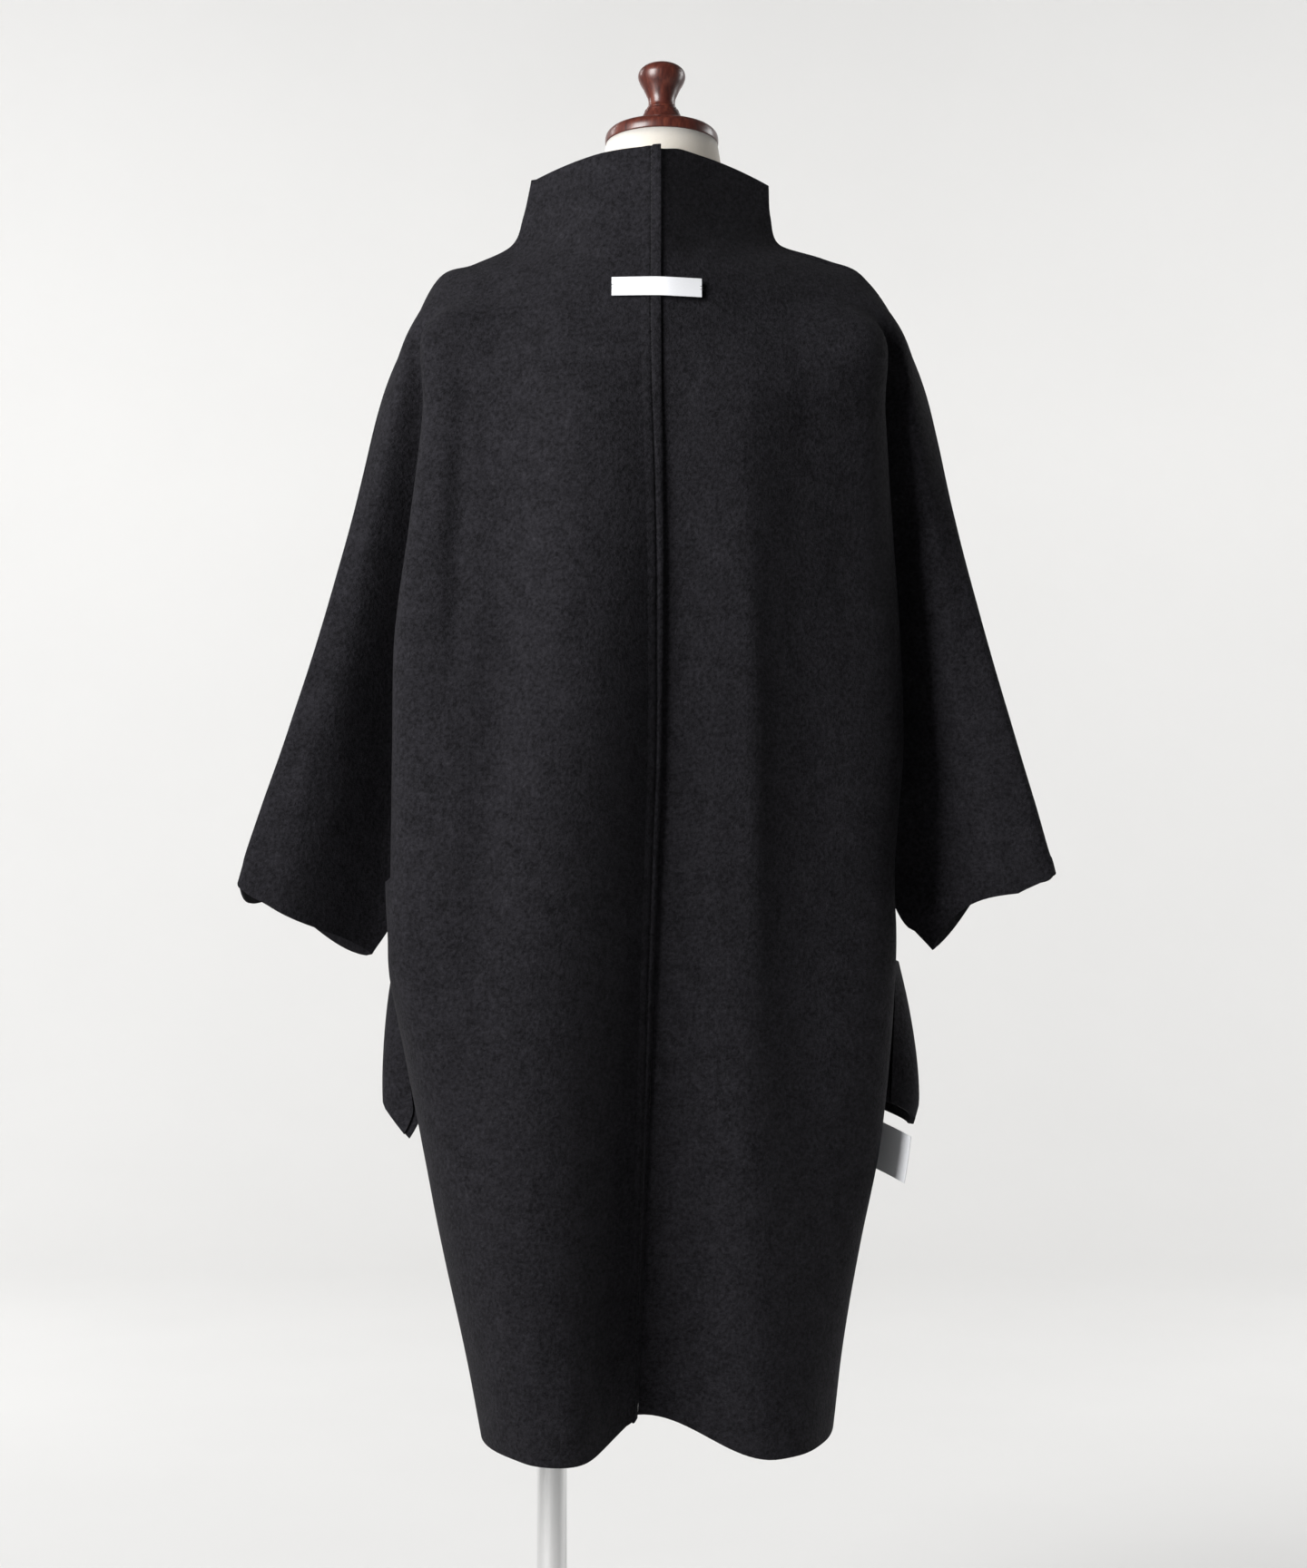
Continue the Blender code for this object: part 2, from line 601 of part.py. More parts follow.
def make_seam_strips(panels, cloth):
    """The centre back allowance lies on the left back, and the overarm ones lie on the fronts."""
    back = panels["back", "left"]
    make_seam_strip("back_seam_strip", back, back.body_index, True, cloth)
    for side_name, side in SIDES.items():
        front = panels["front", side_name]
        rows = front.sleeve_index[:, ::-1]
        make_seam_strip(f"overarm_strip_{side_name}", front, rows, side > 0, cloth)


def column_at(panel, z, column):
    """A point and a normal of a body column at a height."""
    rows = panel.body_index[:, column]
    heights = -panel.points[rows, 2]
    point = np.array([np.interp(-z, heights, panel.points[rows, axis]) for axis in range(3)])
    normal = np.array([np.interp(-z, heights, panel.normals[rows, axis]) for axis in range(3)])
    return point, unit(normal)


def front_at(panel, z, reach):
    """The front panel's outer point and normal at a height, a given way round from the side seam."""
    places = [column_at(panel, z, -1 - i) for i in range(panel.columns)]
    points = np.array([place[0] for place in places])
    normals = np.array([place[1] for place in places])
    return way_along(points, normals, reach)


def pocket_point(size, panel, down, share):
    """A point of a pocket bag, by its share of the way down and round, off the front panel."""
    top = size.z_top - POCKET_TOP_FALL * share**2
    rising = math.sin(0.5 * math.pi * min(1.0, share / POCKET_RISE_END))
    low = size.z_corner + size.rise * rising + POCKET_TOP_FALL * share**2
    z = top + (low - top) * down
    depth = (size.z_top - z) / (size.z_top - size.z_corner)
    swung = math.sin(0.5 * math.pi * min(1.0, max(0.0, depth)))
    swing = size.swing_top + (size.swing_low - size.swing_top) * swung
    bulge = share / POCKET_PEAK * math.exp(1.0 - share / POCKET_PEAK)
    below = max(0.0, (size.z_mouth_end - z) / (size.z_mouth_end - size.z_corner))
    corner = size.corner_out * below**1.5 * max(0.0, 1.0 - share / POCKET_PEAK)
    point, normal = front_at(panel, z * MM, share * size.reach * MM)
    return point + normal * (POCKET_CLEAR + swing * bulge + corner) * MM


def make_pocket(side_name, panel, cloth):
    """Two bag layers that hang out of the side seam and lie round the front of the hip."""
    size = POCKETS[side_name]
    downs = np.linspace(0.0, 1.0, POCKET_ROWS)
    shares = np.linspace(0.0, 1.0, POCKET_COLUMNS)
    inner_layer = np.array([pocket_point(size, panel, down, share) for down in downs for share in shares])
    index = np.arange(len(inner_layer)).reshape(POCKET_ROWS, POCKET_COLUMNS)
    quads = grid_quads(index, SIDES[side_name] > 0)
    normals = normals_of(inner_layer, quads)
    outer_layer = inner_layer + normals * (CLOTH + SEAM_GAP)
    add_wall(f"pocket_{side_name}_front", inner_layer + normals * CLOTH, inner_layer, quads, cloth)
    add_wall(f"pocket_{side_name}_back", outer_layer + normals * CLOTH, outer_layer, quads, cloth)


def back_at(panels, x, z):
    """The back's outer point and normal at a place across the centre seam."""
    side_name = "left" if x > panels["back", "left"].points[0, 0] else "right"
    panel = panels["back", side_name]
    near = [column_at(panel, z, column) for column in range(panel.columns)]
    across = np.array([place[0][0] for place in near])
    order = np.argsort(across)
    values = np.array([np.concatenate(place) for place in near])[order]
    found = np.array([np.interp(x, across[order], values[:, axis]) for axis in range(6)])
    return found[:3], unit(found[3:])


def make_neck_label(panels, satin):
    """A woven label, bare, tacked at its ends across the seam strip."""
    size = NECK_LABEL
    base = []
    for down in np.linspace(0.5, -0.5, size.rows + 1):
        for across in np.linspace(-0.5, 0.5, size.columns + 1):
            x = (size.x + across * size.width) * MM
            z = (size.z + down * size.height) * MM
            point, normal = back_at(panels, x, z)
            rise = size.rise_mid + (size.rise_end - size.rise_mid) * (2 * across) ** 2
            base.append(point + normal * rise * MM)
    base = np.array(base)
    index = np.arange(len(base)).reshape(size.rows + 1, size.columns + 1)
    quads = grid_quads(index, True)
    normals = normals_of(base, quads)
    add_wall("neck_label", base + normals * LABEL_THICK, base, quads, satin)


def make_care_label(panel, satin):
    """A folded care label, bare, sewn into the right side seam and standing out from it."""
    size = CARE_LABEL
    base = []
    for z in np.linspace(size.z_top, size.z_low, size.rows + 1):
        seam, _ = column_at(panel, z * MM, -1)
        for share in np.linspace(0.0, 1.0, size.columns + 1):
            out = size.clear + size.out * math.sin(size.turn * share) / math.sin(size.turn)
            behind = size.clear + size.behind * share**1.6
            base.append(seam + np.array((-out, behind, -size.droop * share)) * MM)
    base = np.array(base)
    index = np.arange(len(base)).reshape(size.rows + 1, size.columns + 1)
    quads = grid_quads(index, True)
    normals = normals_of(base, quads)
    add_wall("care_label", base + normals * LABEL_THICK, base, quads, satin)


def make_torso(jersey):
    """A limbless torso with a neck whose top slopes forward."""
    angles = np.arange(FORM_SIDES) * 2 * math.pi / FORM_SIDES
    cos, sin = np.cos(angles), np.sin(angles)
    points = []
    for ring in FORM_RINGS:
        squareness = 2.0 / ring.power
        x = FORM_X / MM + ring.half * np.sign(cos) * np.abs(cos) ** squareness
        middle = 0.5 * (ring.y_back + ring.y_front)
        half_depth = 0.5 * (ring.y_back - ring.y_front)
        y = middle + half_depth * np.sign(sin) * np.abs(sin) ** squareness
        points.append(np.stack((x, y, np.full(FORM_SIDES, ring.z)), axis=1) * MM)
    top = np.stack((cos, sin * math.cos(NECK_TILT), sin * math.sin(NECK_TILT)), axis=1) * NECK_RADIUS
    points.append(top + np.array((FORM_X, NECK_TOP_Y, NECK_TOP_Z)))
    rings = len(points)
    faces = []
    for i in range(rings - 1):
        for j in range(FORM_SIDES):
            k = (j + 1) % FORM_SIDES
            low, high = i * FORM_SIDES, (i + 1) * FORM_SIDES
            faces.append((low + j, low + k, high + k, high + j))
    faces.append(tuple(range(FORM_SIDES))[::-1])
    faces.append(tuple(range((rings - 1) * FORM_SIDES, rings * FORM_SIDES)))
    return add_mesh("form_torso", np.concatenate(points), faces, jersey)


def above_neck(height):
    """A place on the neck's tilted axis."""
    return (
        FORM_X,
        NECK_TOP_Y - height * math.sin(NECK_TILT),
        NECK_TOP_Z + height * math.cos(NECK_TILT),
    )


def in_metres(profile):
    return tuple((radius * MM, height * MM) for radius, height in profile)


def make_cap_and_finial(wood):
    cap_height = CAP_PROFILE[-1][1] * MM
    add_turned("neck_cap", in_metres(CAP_PROFILE), TURNED_SIDES, wood, above_neck(SEAM_GAP), NECK_TILT)
    place = above_neck(cap_height + 2 * SEAM_GAP)
    add_turned("finial", in_metres(FINIAL_PROFILE), TURNED_SIDES, wood, place, NECK_TILT)


def make_stand(chrome, steel):
    chamfered = (
        (BASE_RADIUS, 0.0),
        (BASE_RADIUS, BASE_THICK - BASE_CHAMFER),
        (BASE_RADIUS - BASE_CHAMFER, BASE_THICK),
    )
    add_turned("base", chamfered, BASE_SIDES, steel, (0.0, 0.0, 0.0))
    pole_low = BASE_THICK + SEAM_GAP
    pole_high = FORM_RINGS[0].z * MM - SEAM_GAP
    pole = ((POLE_RADIUS, pole_low), (POLE_RADIUS, pole_high))
    add_turned("pole", pole, POLE_SIDES, chrome, (POLE_X, 0.0, 0.0))
    add_socket(pole_low, chrome)


def add_socket(low, chrome):
    """A collar round the foot of the pole."""
    bore = POLE_RADIUS + SEAM_GAP
    profile = (
        (bore, low),
        (SOCKET_RADIUS, low),
        (SOCKET_RADIUS, low + SOCKET_HEIGHT - BASE_CHAMFER),
        (SOCKET_RADIUS - BASE_CHAMFER, low + SOCKET_HEIGHT),
        (bore, low + SOCKET_HEIGHT),
    )
    shape = bmesh.new()
    loop = [shape.verts.new((radius, 0.0, height)) for radius, height in profile]
    shape.faces.new(loop[::-1])
    bmesh.ops.spin(
        shape,
        geom=shape.faces[:] + shape.edges[:] + shape.verts[:],
        cent=(0, 0, 0),
        axis=(0, 0, 1),
        angle=2 * math.pi,
        steps=POLE_SIDES,
        use_duplicate=False,
    )
    bmesh.ops.remove_doubles(shape, verts=shape.verts[:], dist=0.01 * MM)
    inner = [face for face in shape.faces if len(face.verts) > 4]
    bmesh.ops.delete(shape, geom=inner, context="FACES_ONLY")
    bmesh.ops.recalc_face_normals(shape, faces=shape.faces[:])
    mesh = bpy.data.meshes.new("pole_socket")
    shape.to_mesh(mesh)
    shape.free()
    mesh.materials.append(chrome)
    mesh.shade_smooth()
    mesh.set_sharp_from_angle(angle=math.radians(40))
    socket = bpy.data.objects.new("pole_socket", mesh)
    socket.location = (POLE_X, 0.0, 0.0)
    bpy.context.scene.collection.objects.link(socket)


def main():
    for obj in list(bpy.data.objects):
        bpy.data.objects.remove(obj)
    wool = material("black_wool", (0.012, 0.012, 0.013), 0.95)
    satin = material("white_satin", (0.86, 0.87, 0.90), 0.5)
    jersey = material("ivory_jersey", (0.85, 0.80, 0.72), 0.9)
    wood = material("mahogany", (0.10, 0.030, 0.022), 0.25)
    chrome = material("chrome", (0.80, 0.80, 0.80), 0.12, 1.0)
    steel = material("pale_steel", (0.72, 0.72, 0.71), 0.4, 0.6)
    panels = make_panels(wool)
    make_seam_strips(panels, wool)
    for side_name in SIDES:
        make_pocket(side_name, panels["front", side_name], wool)
    make_neck_label(panels, satin)
    make_care_label(panels["front", "right"], satin)
    make_torso(jersey)
    make_cap_and_finial(wood)
    make_stand(chrome, steel)


main()
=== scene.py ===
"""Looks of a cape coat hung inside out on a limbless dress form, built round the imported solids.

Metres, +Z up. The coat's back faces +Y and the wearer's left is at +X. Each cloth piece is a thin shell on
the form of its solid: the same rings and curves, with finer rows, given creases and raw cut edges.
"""

import math
from collections import namedtuple

import bpy
import numpy as np
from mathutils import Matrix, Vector, noise


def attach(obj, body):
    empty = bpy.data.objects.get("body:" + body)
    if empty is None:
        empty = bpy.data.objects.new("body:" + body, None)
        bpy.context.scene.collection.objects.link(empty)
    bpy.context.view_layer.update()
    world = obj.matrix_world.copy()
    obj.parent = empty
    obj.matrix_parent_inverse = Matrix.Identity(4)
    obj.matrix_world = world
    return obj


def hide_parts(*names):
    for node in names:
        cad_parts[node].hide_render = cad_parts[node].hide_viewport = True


MM = 0.001


def table(row_type, *rows):
    """Rows of named values, from plain rows of them."""
    return tuple(row_type(*row) for row in rows)


# Cloth
CLOTH = 2.0 * MM
SEAM_GAP = 0.3 * MM
SEWN_GAP = 0.03 * MM
LAP_GAP = 0.6 * MM
FRONT_LIFT = CLOTH + LAP_GAP
LABEL_THICK = 0.6 * MM
MOST_MITRE = 1.5

# Degrees by which an edge may turn and still be smooth
SHARP_ANGLE = 40.0
THREAD_SHARP_ANGLE = 60.0

# Faces across each span of a ring and rows between two rings, so many times finer than in the solids. The
# first spans lie on the body and the others on the sleeve. Below the underarm, the fold's turn fades into
# the side seam's over some rings.
FINER = 5
SPAN_FACES = tuple(FINER * count for count in (4, 2, 3, 3, 3, 3))
BODY_SPANS = 4
ROW_STEPS = FINER * 2
FOLD_FADE_RINGS = 2
OVERLAP_COLUMNS = 1
LIFT_BY_COLUMN = (1.0, 1.0, 1.0, 0.7, 0.3, 0.0)

# Places of a plain ring's inner points, as shares of its half width
PLAIN_SHARES = (0.42, 0.60, 0.76, 0.86, 0.94)

# Millimetres in every table of the coat and its form. Plain rings: collar, neck and shoulders. seam_x is
# where the back seam runs, lean is the slope of the back in plan at that seam, peak is how much the seam
# stands out as a ridge, tilt is how much higher the right side is than the middle, bow and drop are the
# powers of the arc in plan, fall is its power in height, and round is 1 where the arc turns smoothly over
# the overarm seam.
PlainRing = namedtuple(
    "PlainRing", "shift seam_x lean peak z_mid z_seam tilt half y_back y_front y_seam bow drop fall round"
)
PLAIN_RINGS = table(
    PlainRing,
    (0.0, -9.0, 0.10, 0.48, 1443.5, 1422.5, -1.5, 99.5, 62, -82, 0, 1.25, 1.00, 1.9, 0.0),
    (2.5, -9.0, 0.10, 0.44, 1404, 1395, 0.0, 103.5, 66, -86, 0, 1.3, 1.00, 1.9, 0.0),
    (3.2, -9.0, 0.10, 0.30, 1362, 1371, -0.2, 112.5, 74, -93, -1, 1.5, 0.95, 2.0, 0.3),
    (0.0, -8.8, 0.12, 0.18, 1328, 1355.5, 0.4, 147, 87, -105, -2, 1.75, 0.80, 2.0, 0.9),
    (-1.5, -9.0, 0.15, 0.06, 1286, 1344.5, 0.0, 177, 101, -118, -3, 2.0, 0.72, 2.0, 1.0),
)

# Folded rings: from the shoulder drop to the underarm.
FoldRing = namedtuple("FoldRing", "shift seam_x y_back y_front z_mid")
FOLD_RINGS = table(
    FoldRing,
    (-4.5, -9.4, 110, -128, 1236), (-4.0, -10.7, 112, -136, 1180), (-3.2, -11.5, 109, -141, 1100),
    (-2.2, -10.9, 104, -143, 1020), (-0.8, -9.8, 99, -143, 940), (0.6, -7.6, 96, -142, 878),
    (1.6, -5.9, 94, -141, 832),
)

# The overarm seam at each folded ring. The left sleeve hangs further back than the right one.
Overarm = namedtuple("Overarm", "x y z")
OVERARMS = {
    "left": table(
        Overarm,
        (202.5, 1, 1301.5), (226, 8, 1243.5), (247.5, 22, 1147.5), (271.5, 34, 1054), (298, 40, 965),
        (317, 42, 906.5), (330, 43, 865),
    ),
    "right": table(
        Overarm,
        (203, -2, 1301.5), (226.5, 3, 1244), (248.5, 10, 1148.5), (273.5, 14, 1055), (300.5, 17, 965.5),
        (320, 15, 906), (333.5, 11, 864.5),
    ),
}
OVERARM_TURN = 0.65

# Half of each folded ring: its slope in plan at the seam, the lobe beside the seam, the flank, the edge of
# the body, the fold under the arm and the sleeve's ridge. The back is turned to the right, so its left half
# stands out.
Fold = namedtuple(
    "Fold", "lean x_lobe y_lobe x_flank y_flank x_edge y_edge x_fold y_fold x_ridge y_ridge"
)
BACK_FOLDS = {
    "left": table(
        Fold,
        (0.30, 60, 119, 128, 92, 188, 72, 190, 46, 198, 38),
        (0.50, 62, 127, 130, 100, 187, 86, 188, 34, 213, 40),
        (0.70, 66, 135, 126, 110, 194, 102, 194, 12, 237, 32),
        (0.90, 77, 142, 115, 127, 203, 116, 198, 0, 260, 38),
        (1.00, 84, 147, 116, 137, 201, 122, 202, -8, 283, 44),
        (1.00, 90, 150, 118, 143, 198, 127, 205, -12, 297, 47),
        (1.00, 94, 152, 121, 146, 196, 131, 207, -14, 307, 48),
    ),
    "right": table(
        Fold,
        (0.20, 80, 102, 118, 89, 186, 60, 188, 42, 197, 36),
        (0.25, 79, 106, 114, 91, 190, 48, 188, 28, 213, 34),
        (0.30, 78, 105, 112, 89, 197, 38, 199, 6, 234, 22),
        (0.30, 78, 100, 112, 84, 205, 33, 205, -6, 254, 18),
        (0.30, 78, 95, 112, 79, 209, 30, 206, -13, 272, 17),
        (0.30, 79, 92, 113, 76, 206, 29, 204, -14, 290, 13),
        (0.30, 80, 90, 114, 74, 204, 28, 203, -15, 300, 9),
    ),
}
FRONT_FOLDS = table(
    Fold,
    (0.0, 84, -123, 125, -114, 166, -92, 184, -70, 197, -46),
    (0.0, 90, -132, 138, -119, 186, -86, 199, -61, 213, -45),
    (0.0, 96, -139, 149, -122, 202, -80, 203, -43, 229, -47),
    (0.0, 98, -143, 153, -125, 209, -77, 201, -34, 246, -54),
    (0.0, 98, -145, 155, -125, 212, -74, 196, -27, 266, -62),
    (0.0, 98, -145, 155, -124, 212, -71, 191, -23, 281, -69),
    (0.0, 98, -145, 154, -123, 210, -68, 187, -19.5, 291, -73),
)

# Body rings below the underarm. tilt lifts the right side and lowers the left.
BodyRing = namedtuple("BodyRing", "shift seam_x y_back y_front z_mid z_side tilt x_side")
BODY_RINGS = table(
    BodyRing,
    (2.4, -4.8, 93, -140, 800, 800, 0.0, 198), (2.6, -3.5, 91, -139, 764, 764, 0.0, 203),
    (0.0, -1.4, 88, -137, 701, 700, 0.0, 197), (-2.4, 1.3, 85, -133, 623, 620, 0.0, 188),
    (-2.4, 4.2, 82, -128, 546, 540, 0.0, 173.5), (-4.4, 7.0, 79, -123, 471, 458.5, -0.5, 158),
    (-8.0, 10.0, 76, -118, 406, 386, -1.5, 146),
)

# Half of each body ring: its slope in plan at the seam, the lobe, the flank and the edge.
Body = namedtuple("Body", "lean x_lobe y_lobe z_lobe x_flank y_flank x_edge y_edge")
BACK_BODIES = {
    "left": table(
        Body,
        (1.00, 96, 152, 799, 123, 147, 194, 133), (1.05, 98, 153, 762, 125, 148, 188, 134),
        (1.10, 98, 155, 698, 129, 150, 175, 133), (1.15, 94, 157, 618, 129, 151, 159, 133),
        (1.20, 89, 158, 537, 118, 154, 142, 137), (1.25, 85, 158, 456, 108, 155, 126, 140),
        (1.25, 81, 158, 379, 100, 155, 117, 142),
    ),
    "right": table(
        Body,
        (0.30, 80, 89, 799, 114, 73, 207, 27), (0.30, 82, 88, 762, 115, 72, 206, 27),
        (0.30, 85, 87, 698, 117, 71, 199, 27), (0.30, 88, 87, 617, 118, 71, 187, 28),
        (0.35, 91, 88, 535, 119, 73, 169, 32), (0.40, 93, 89, 453, 118, 76, 151, 38),
        (0.45, 94, 90, 372, 114, 80, 136, 46),
    ),
}
FRONT_BODIES = table(
    Body,
    (0.0, 97, -145, 799, 153, -123, 209, -68), (0.0, 97, -145, 762, 152, -123, 207, -66),
    (0.0, 95, -145, 698, 147, -122, 199, -64), (0.0, 93, -144, 618, 140, -121, 187, -62),
    (0.0, 91, -142, 537, 130, -119, 170, -60), (0.0, 90, -140, 456, 121, -117, 153, -58),
    (0.0, 89, -138, 379, 114, -115, 140, -56),
)
SIDE_Y = -16 * MM

# How soon the hem falls from the centre seam towards the lobe
HEM_POWER = {"left": 0.45, "right": 0.97}

# How late the hem rises from the lobe towards the side seam
HEM_RISE_POWER = 1.8

# Sleeve rings below the underarm, down to the cuff: underarm seam, ridge and overarm seam. Between underarm
# and ridge the cuff edge is lifted in the back and sags in the front. It falls from the overarm at a slope.
# The lift powers put the highest or lowest place of the edge nearer the underarm or nearer the ridge.
SleeveRing = namedtuple(
    "SleeveRing", "x_under z_under x_ridge z_ridge y_back y_front lift sag x_seam z_seam y_seam slope"
)
SLEEVE_RINGS = {
    "left": table(
        SleeveRing,
        (216, 806, 310, 837, 47, -75, 2, 4, 335, 853, 43, 0.4),
        (234, 776.5, 312, 818, 45, -77, 4, 9, 339, 840, 42, 0.9),
    ),
    "right": table(
        SleeveRing,
        (214, 808, 304, 841, 8, -75, 7, -8, 335, 857.5, 10.5, 0.2),
        (238, 780, 308, 828.5, 6, -77, 17, -20, 338, 847, 10, 0.5),
    ),
}
LIFT_POWERS = {
    ("back", "left"): 0.7, ("back", "right"): 0.7, ("front", "left"): 0.7, ("front", "right"): 2.0,
}

# Creases in the cloth: soft ridges and troughs, each along a line on one panel, with their own width and
# depth. A positive depth stands out. bend is how far the line bows sideways at its middle.
Crease = namedtuple("Crease", "x_top z_top x_low z_low width depth bend")
CREASES = {
    ("back", "left"): table(
        Crease,
        (148, 1290, 160, 960, 9, -4.5, 0), (106, 1200, 146, 640, 12, -2.5, 4),
        (150, 720, 132, 560, 15, -1.2, -3), (96, 640, 84, 430, 17, 1.4, 4),
        (40, 560, 34, 410, 12, -1.2, 3),
    ),
    ("back", "right"): table(
        Crease,
        (-178, 1250, -184, 1070, 10, 1.8, -3), (-160, 1180, -166, 1010, 12, -1.6, 3),
        (-132, 1000, -140, 830, 17, -1.3, -4), (-77, 1230, -86, 620, 11, 3.5, -3),
        (-166, 760, -150, 610, 14, 1.3, 3), (-118, 640, -110, 440, 18, 1.2, -4),
        (-128, 520, -120, 400, 13, -1.1, 2),
    ),
    ("front", "left"): table(
        Crease,
        (176, 1240, 184, 1060, 10, 1.9, 3), (150, 1150, 158, 980, 13, -1.6, -3),
        (110, 900, 118, 700, 18, -1.3, 4), (96, 640, 84, 420, 17, 1.2, -4),
    ),
    ("front", "right"): table(
        Crease,
        (-180, 1230, -186, 1050, 10, 1.7, -2), (-154, 1140, -160, 960, 12, -1.5, 4),
        (-120, 880, -126, 690, 17, -1.2, -3), (-90, 620, -82, 410, 16, 1.3, 3),
    ),
}
SLEEVE_CREASES = {
    ("back", "left"): table(
        Crease,
        (240, 1080, 268, 900, 12, 1.4, 3), (262, 980, 296, 842, 11, -1.2, -3),
    ),
    ("back", "right"): table(
        Crease,
        (-236, 1100, -262, 930, 12, 1.3, -3), (-262, 990, -290, 850, 10, -1.3, 2),
    ),
    ("front", "left"): table(
        Crease,
        (238, 1090, 266, 910, 12, 1.3, -3), (262, 970, 292, 850, 10, -1.3, 3),
    ),
    ("front", "right"): table(
        Crease,
        (-240, 1070, -266, 900, 11, 1.4, 2), (-264, 970, -292, 850, 11, -1.1, -3),
    ),
}
CREASE_FADE_POWER = 1.5
RIPPLE = 0.35 * MM
RIPPLE_SCALE = 22.0

# The collar's rim: the right half starts lower than the left half, which laps over it.
RIM_DROP = 2.7 * MM
RIM_REACH = 18 * MM
RIM_DEPTH = 30 * MM

# Seam strips: places across a strip from its raw edge, and the height of its top there. The raw edge of the
# centre strip laps over the seam, a groove is sewn along its other edge, and the cloth swells beside that.
# It stands off the leaning left back at its raw edge, most of all half way down. The overarm strips lie
# flat, but the right one stands up on the shoulder.
StripPoint = namedtuple("StripPoint", "across top")
CENTRE_STRIP = table(
    StripPoint,
    (-0.4, 1.7), (0.3, 2.05), (3.0, 2.1), (5.8, 1.95), (6.9, 1.4),
    (7.8, 0.6), (8.7, 1.1), (10.0, 1.35), (12.5, 0.9), (16.0, 0.05),
)
OVERARM_STRIP = table(
    StripPoint, (0.5, 0.1), (1.3, 0.7), (3.0, 1.3), (5.5, 1.4), (7.2, 1.0), (8.4, 0.3)
)
STRIP_LOW = 0.2 * MM
CENTRE_GROOVE = StripPoint(7.8, 0.6)
OVERARM_GROOVE = StripPoint(9.2, 0.0)
StandOff = namedtuple("StandOff", "z_top z_low height power")
CENTRE_STANDS = StandOff(1300, 560, 2.2, 1.2)
SHOULDER_X = (104, 180)
SHOULDER_SWELL = 2.4
SHOULDER_SWELL_POWER = 0.8
COLLAR_TAB = 1.4 * MM
STRIP_CORNER = 0.6 * MM
STRIP_CORNER_POINTS = 4
STRIP_END = -2.4 * MM
STRIP_END_POINTS = 6

# Stitches: shares of the way along a stitch, with the thread's height and thickness there in its radius
StitchPoint = namedtuple("StitchPoint", "along height size")
STITCH = table(StitchPoint, (0.0, 0.0, 0.4), (0.18, 0.35, 1.0), (0.82, 0.35, 1.0), (1.0, 0.0, 0.4))
STITCH_SIDES = 6
STITCH_PITCH = 3.2 * MM
STITCH_LENGTH = 2.5 * MM
STITCH_RADIUS = 0.28 * MM

# Pocket bags: z of the top, of the mouth's end and of the low corner, the way round the hip, how far the bag
# swings out of the side seam at its top, lower down and at the low corner, the rise of its low edge round
# the hip and at the seam, and the share by which its swing is less at the low corner.
PocketSize = namedtuple(
    "PocketSize", "z_top z_mouth_end z_corner reach swing_top swing_low corner_out rise seam_rise tuck"
)
POCKETS = {
    "left": PocketSize(772, 648, 624, 105, 1, 31, 15, 34, 0, 0.0),
    "right": PocketSize(770, 652, 630, 105, 1, 29, 14, 4, 24, 0.2),
}
POCKET_RISE_END = 0.3
POCKET_MOUTH = 0.02
POCKET_MEETS = 0.4
POCKET_CLOSES = 30
POCKET_TOP_FALL = 22
POCKET_ROWS = 28
POCKET_COLUMNS = 22
POCKET_PEAK = 0.22
POCKET_CORNER_POWER = 1.5
POCKET_CLEAR = 1.2

# Labels. The rises are how far the neck label stands off the back at its right end, over the seam strip and
# at its left end, bend is how far round the strip it bends, and tilt is how much lower its right end is. The
# care label stands out of its seam, turns behind and droops.
NeckLabel = namedtuple("NeckLabel", "x z width height rises bend tilt columns rows")
NECK_LABEL = NeckLabel(-5.6, 1322.7, 73.0, 15.8, (4.0, 2.9, 2.0), 0.3, 2.4, 48, 12)
TACK_SPREAD = 0.4
TACK_REACH = 1.8
TACK_PAST_EDGE = 0.2
CareLabel = namedtuple("CareLabel", "z_top z_low clear out turn behind droop columns rows")
CARE_LABEL = CareLabel(636.0, 597.0, 2.0, 22.4, 0.6, 36.0, 9.0, 24, 20)
CARE_LABEL_BEND = 1.15

# Dress form, off the coat's own middle line, with a tilted neck top
FORM_X = -10 * MM
FormRing = namedtuple("FormRing", "z half y_back y_front power")
FORM_RINGS = table(
    FormRing,
    (655, 144, 66, -106, 2.3), (662, 152, 70, -112, 2.3), (720, 160, 76, -118, 2.3),
    (800, 163, 78, -121, 2.3), (900, 146, 72, -113, 2.2), (990, 121, 70, -101, 2.2),
    (1080, 130, 84, -110, 2.2), (1160, 141, 98, -119, 2.3), (1240, 150, 94, -108, 2.4),
    (1295, 152, 76, -94, 2.4), (1322, 142, 62, -80, 2.2), (1338, 122, 55, -71, 2.1),
    (1352, 88, 50, -63, 2.0), (1370, 60, 49, -56, 2.0), (1395, 54, 48, -54, 2.0),
    (1425, 52, 44, -55, 2.0),
)
FORM_SIDES = 120
FORM_STEPS = 4
NECK_TILT = math.radians(8.6)
NECK_TOP_Z = 1456.6 * MM
NECK_TOP_Y = -11 * MM
NECK_RADIUS = 47 * MM

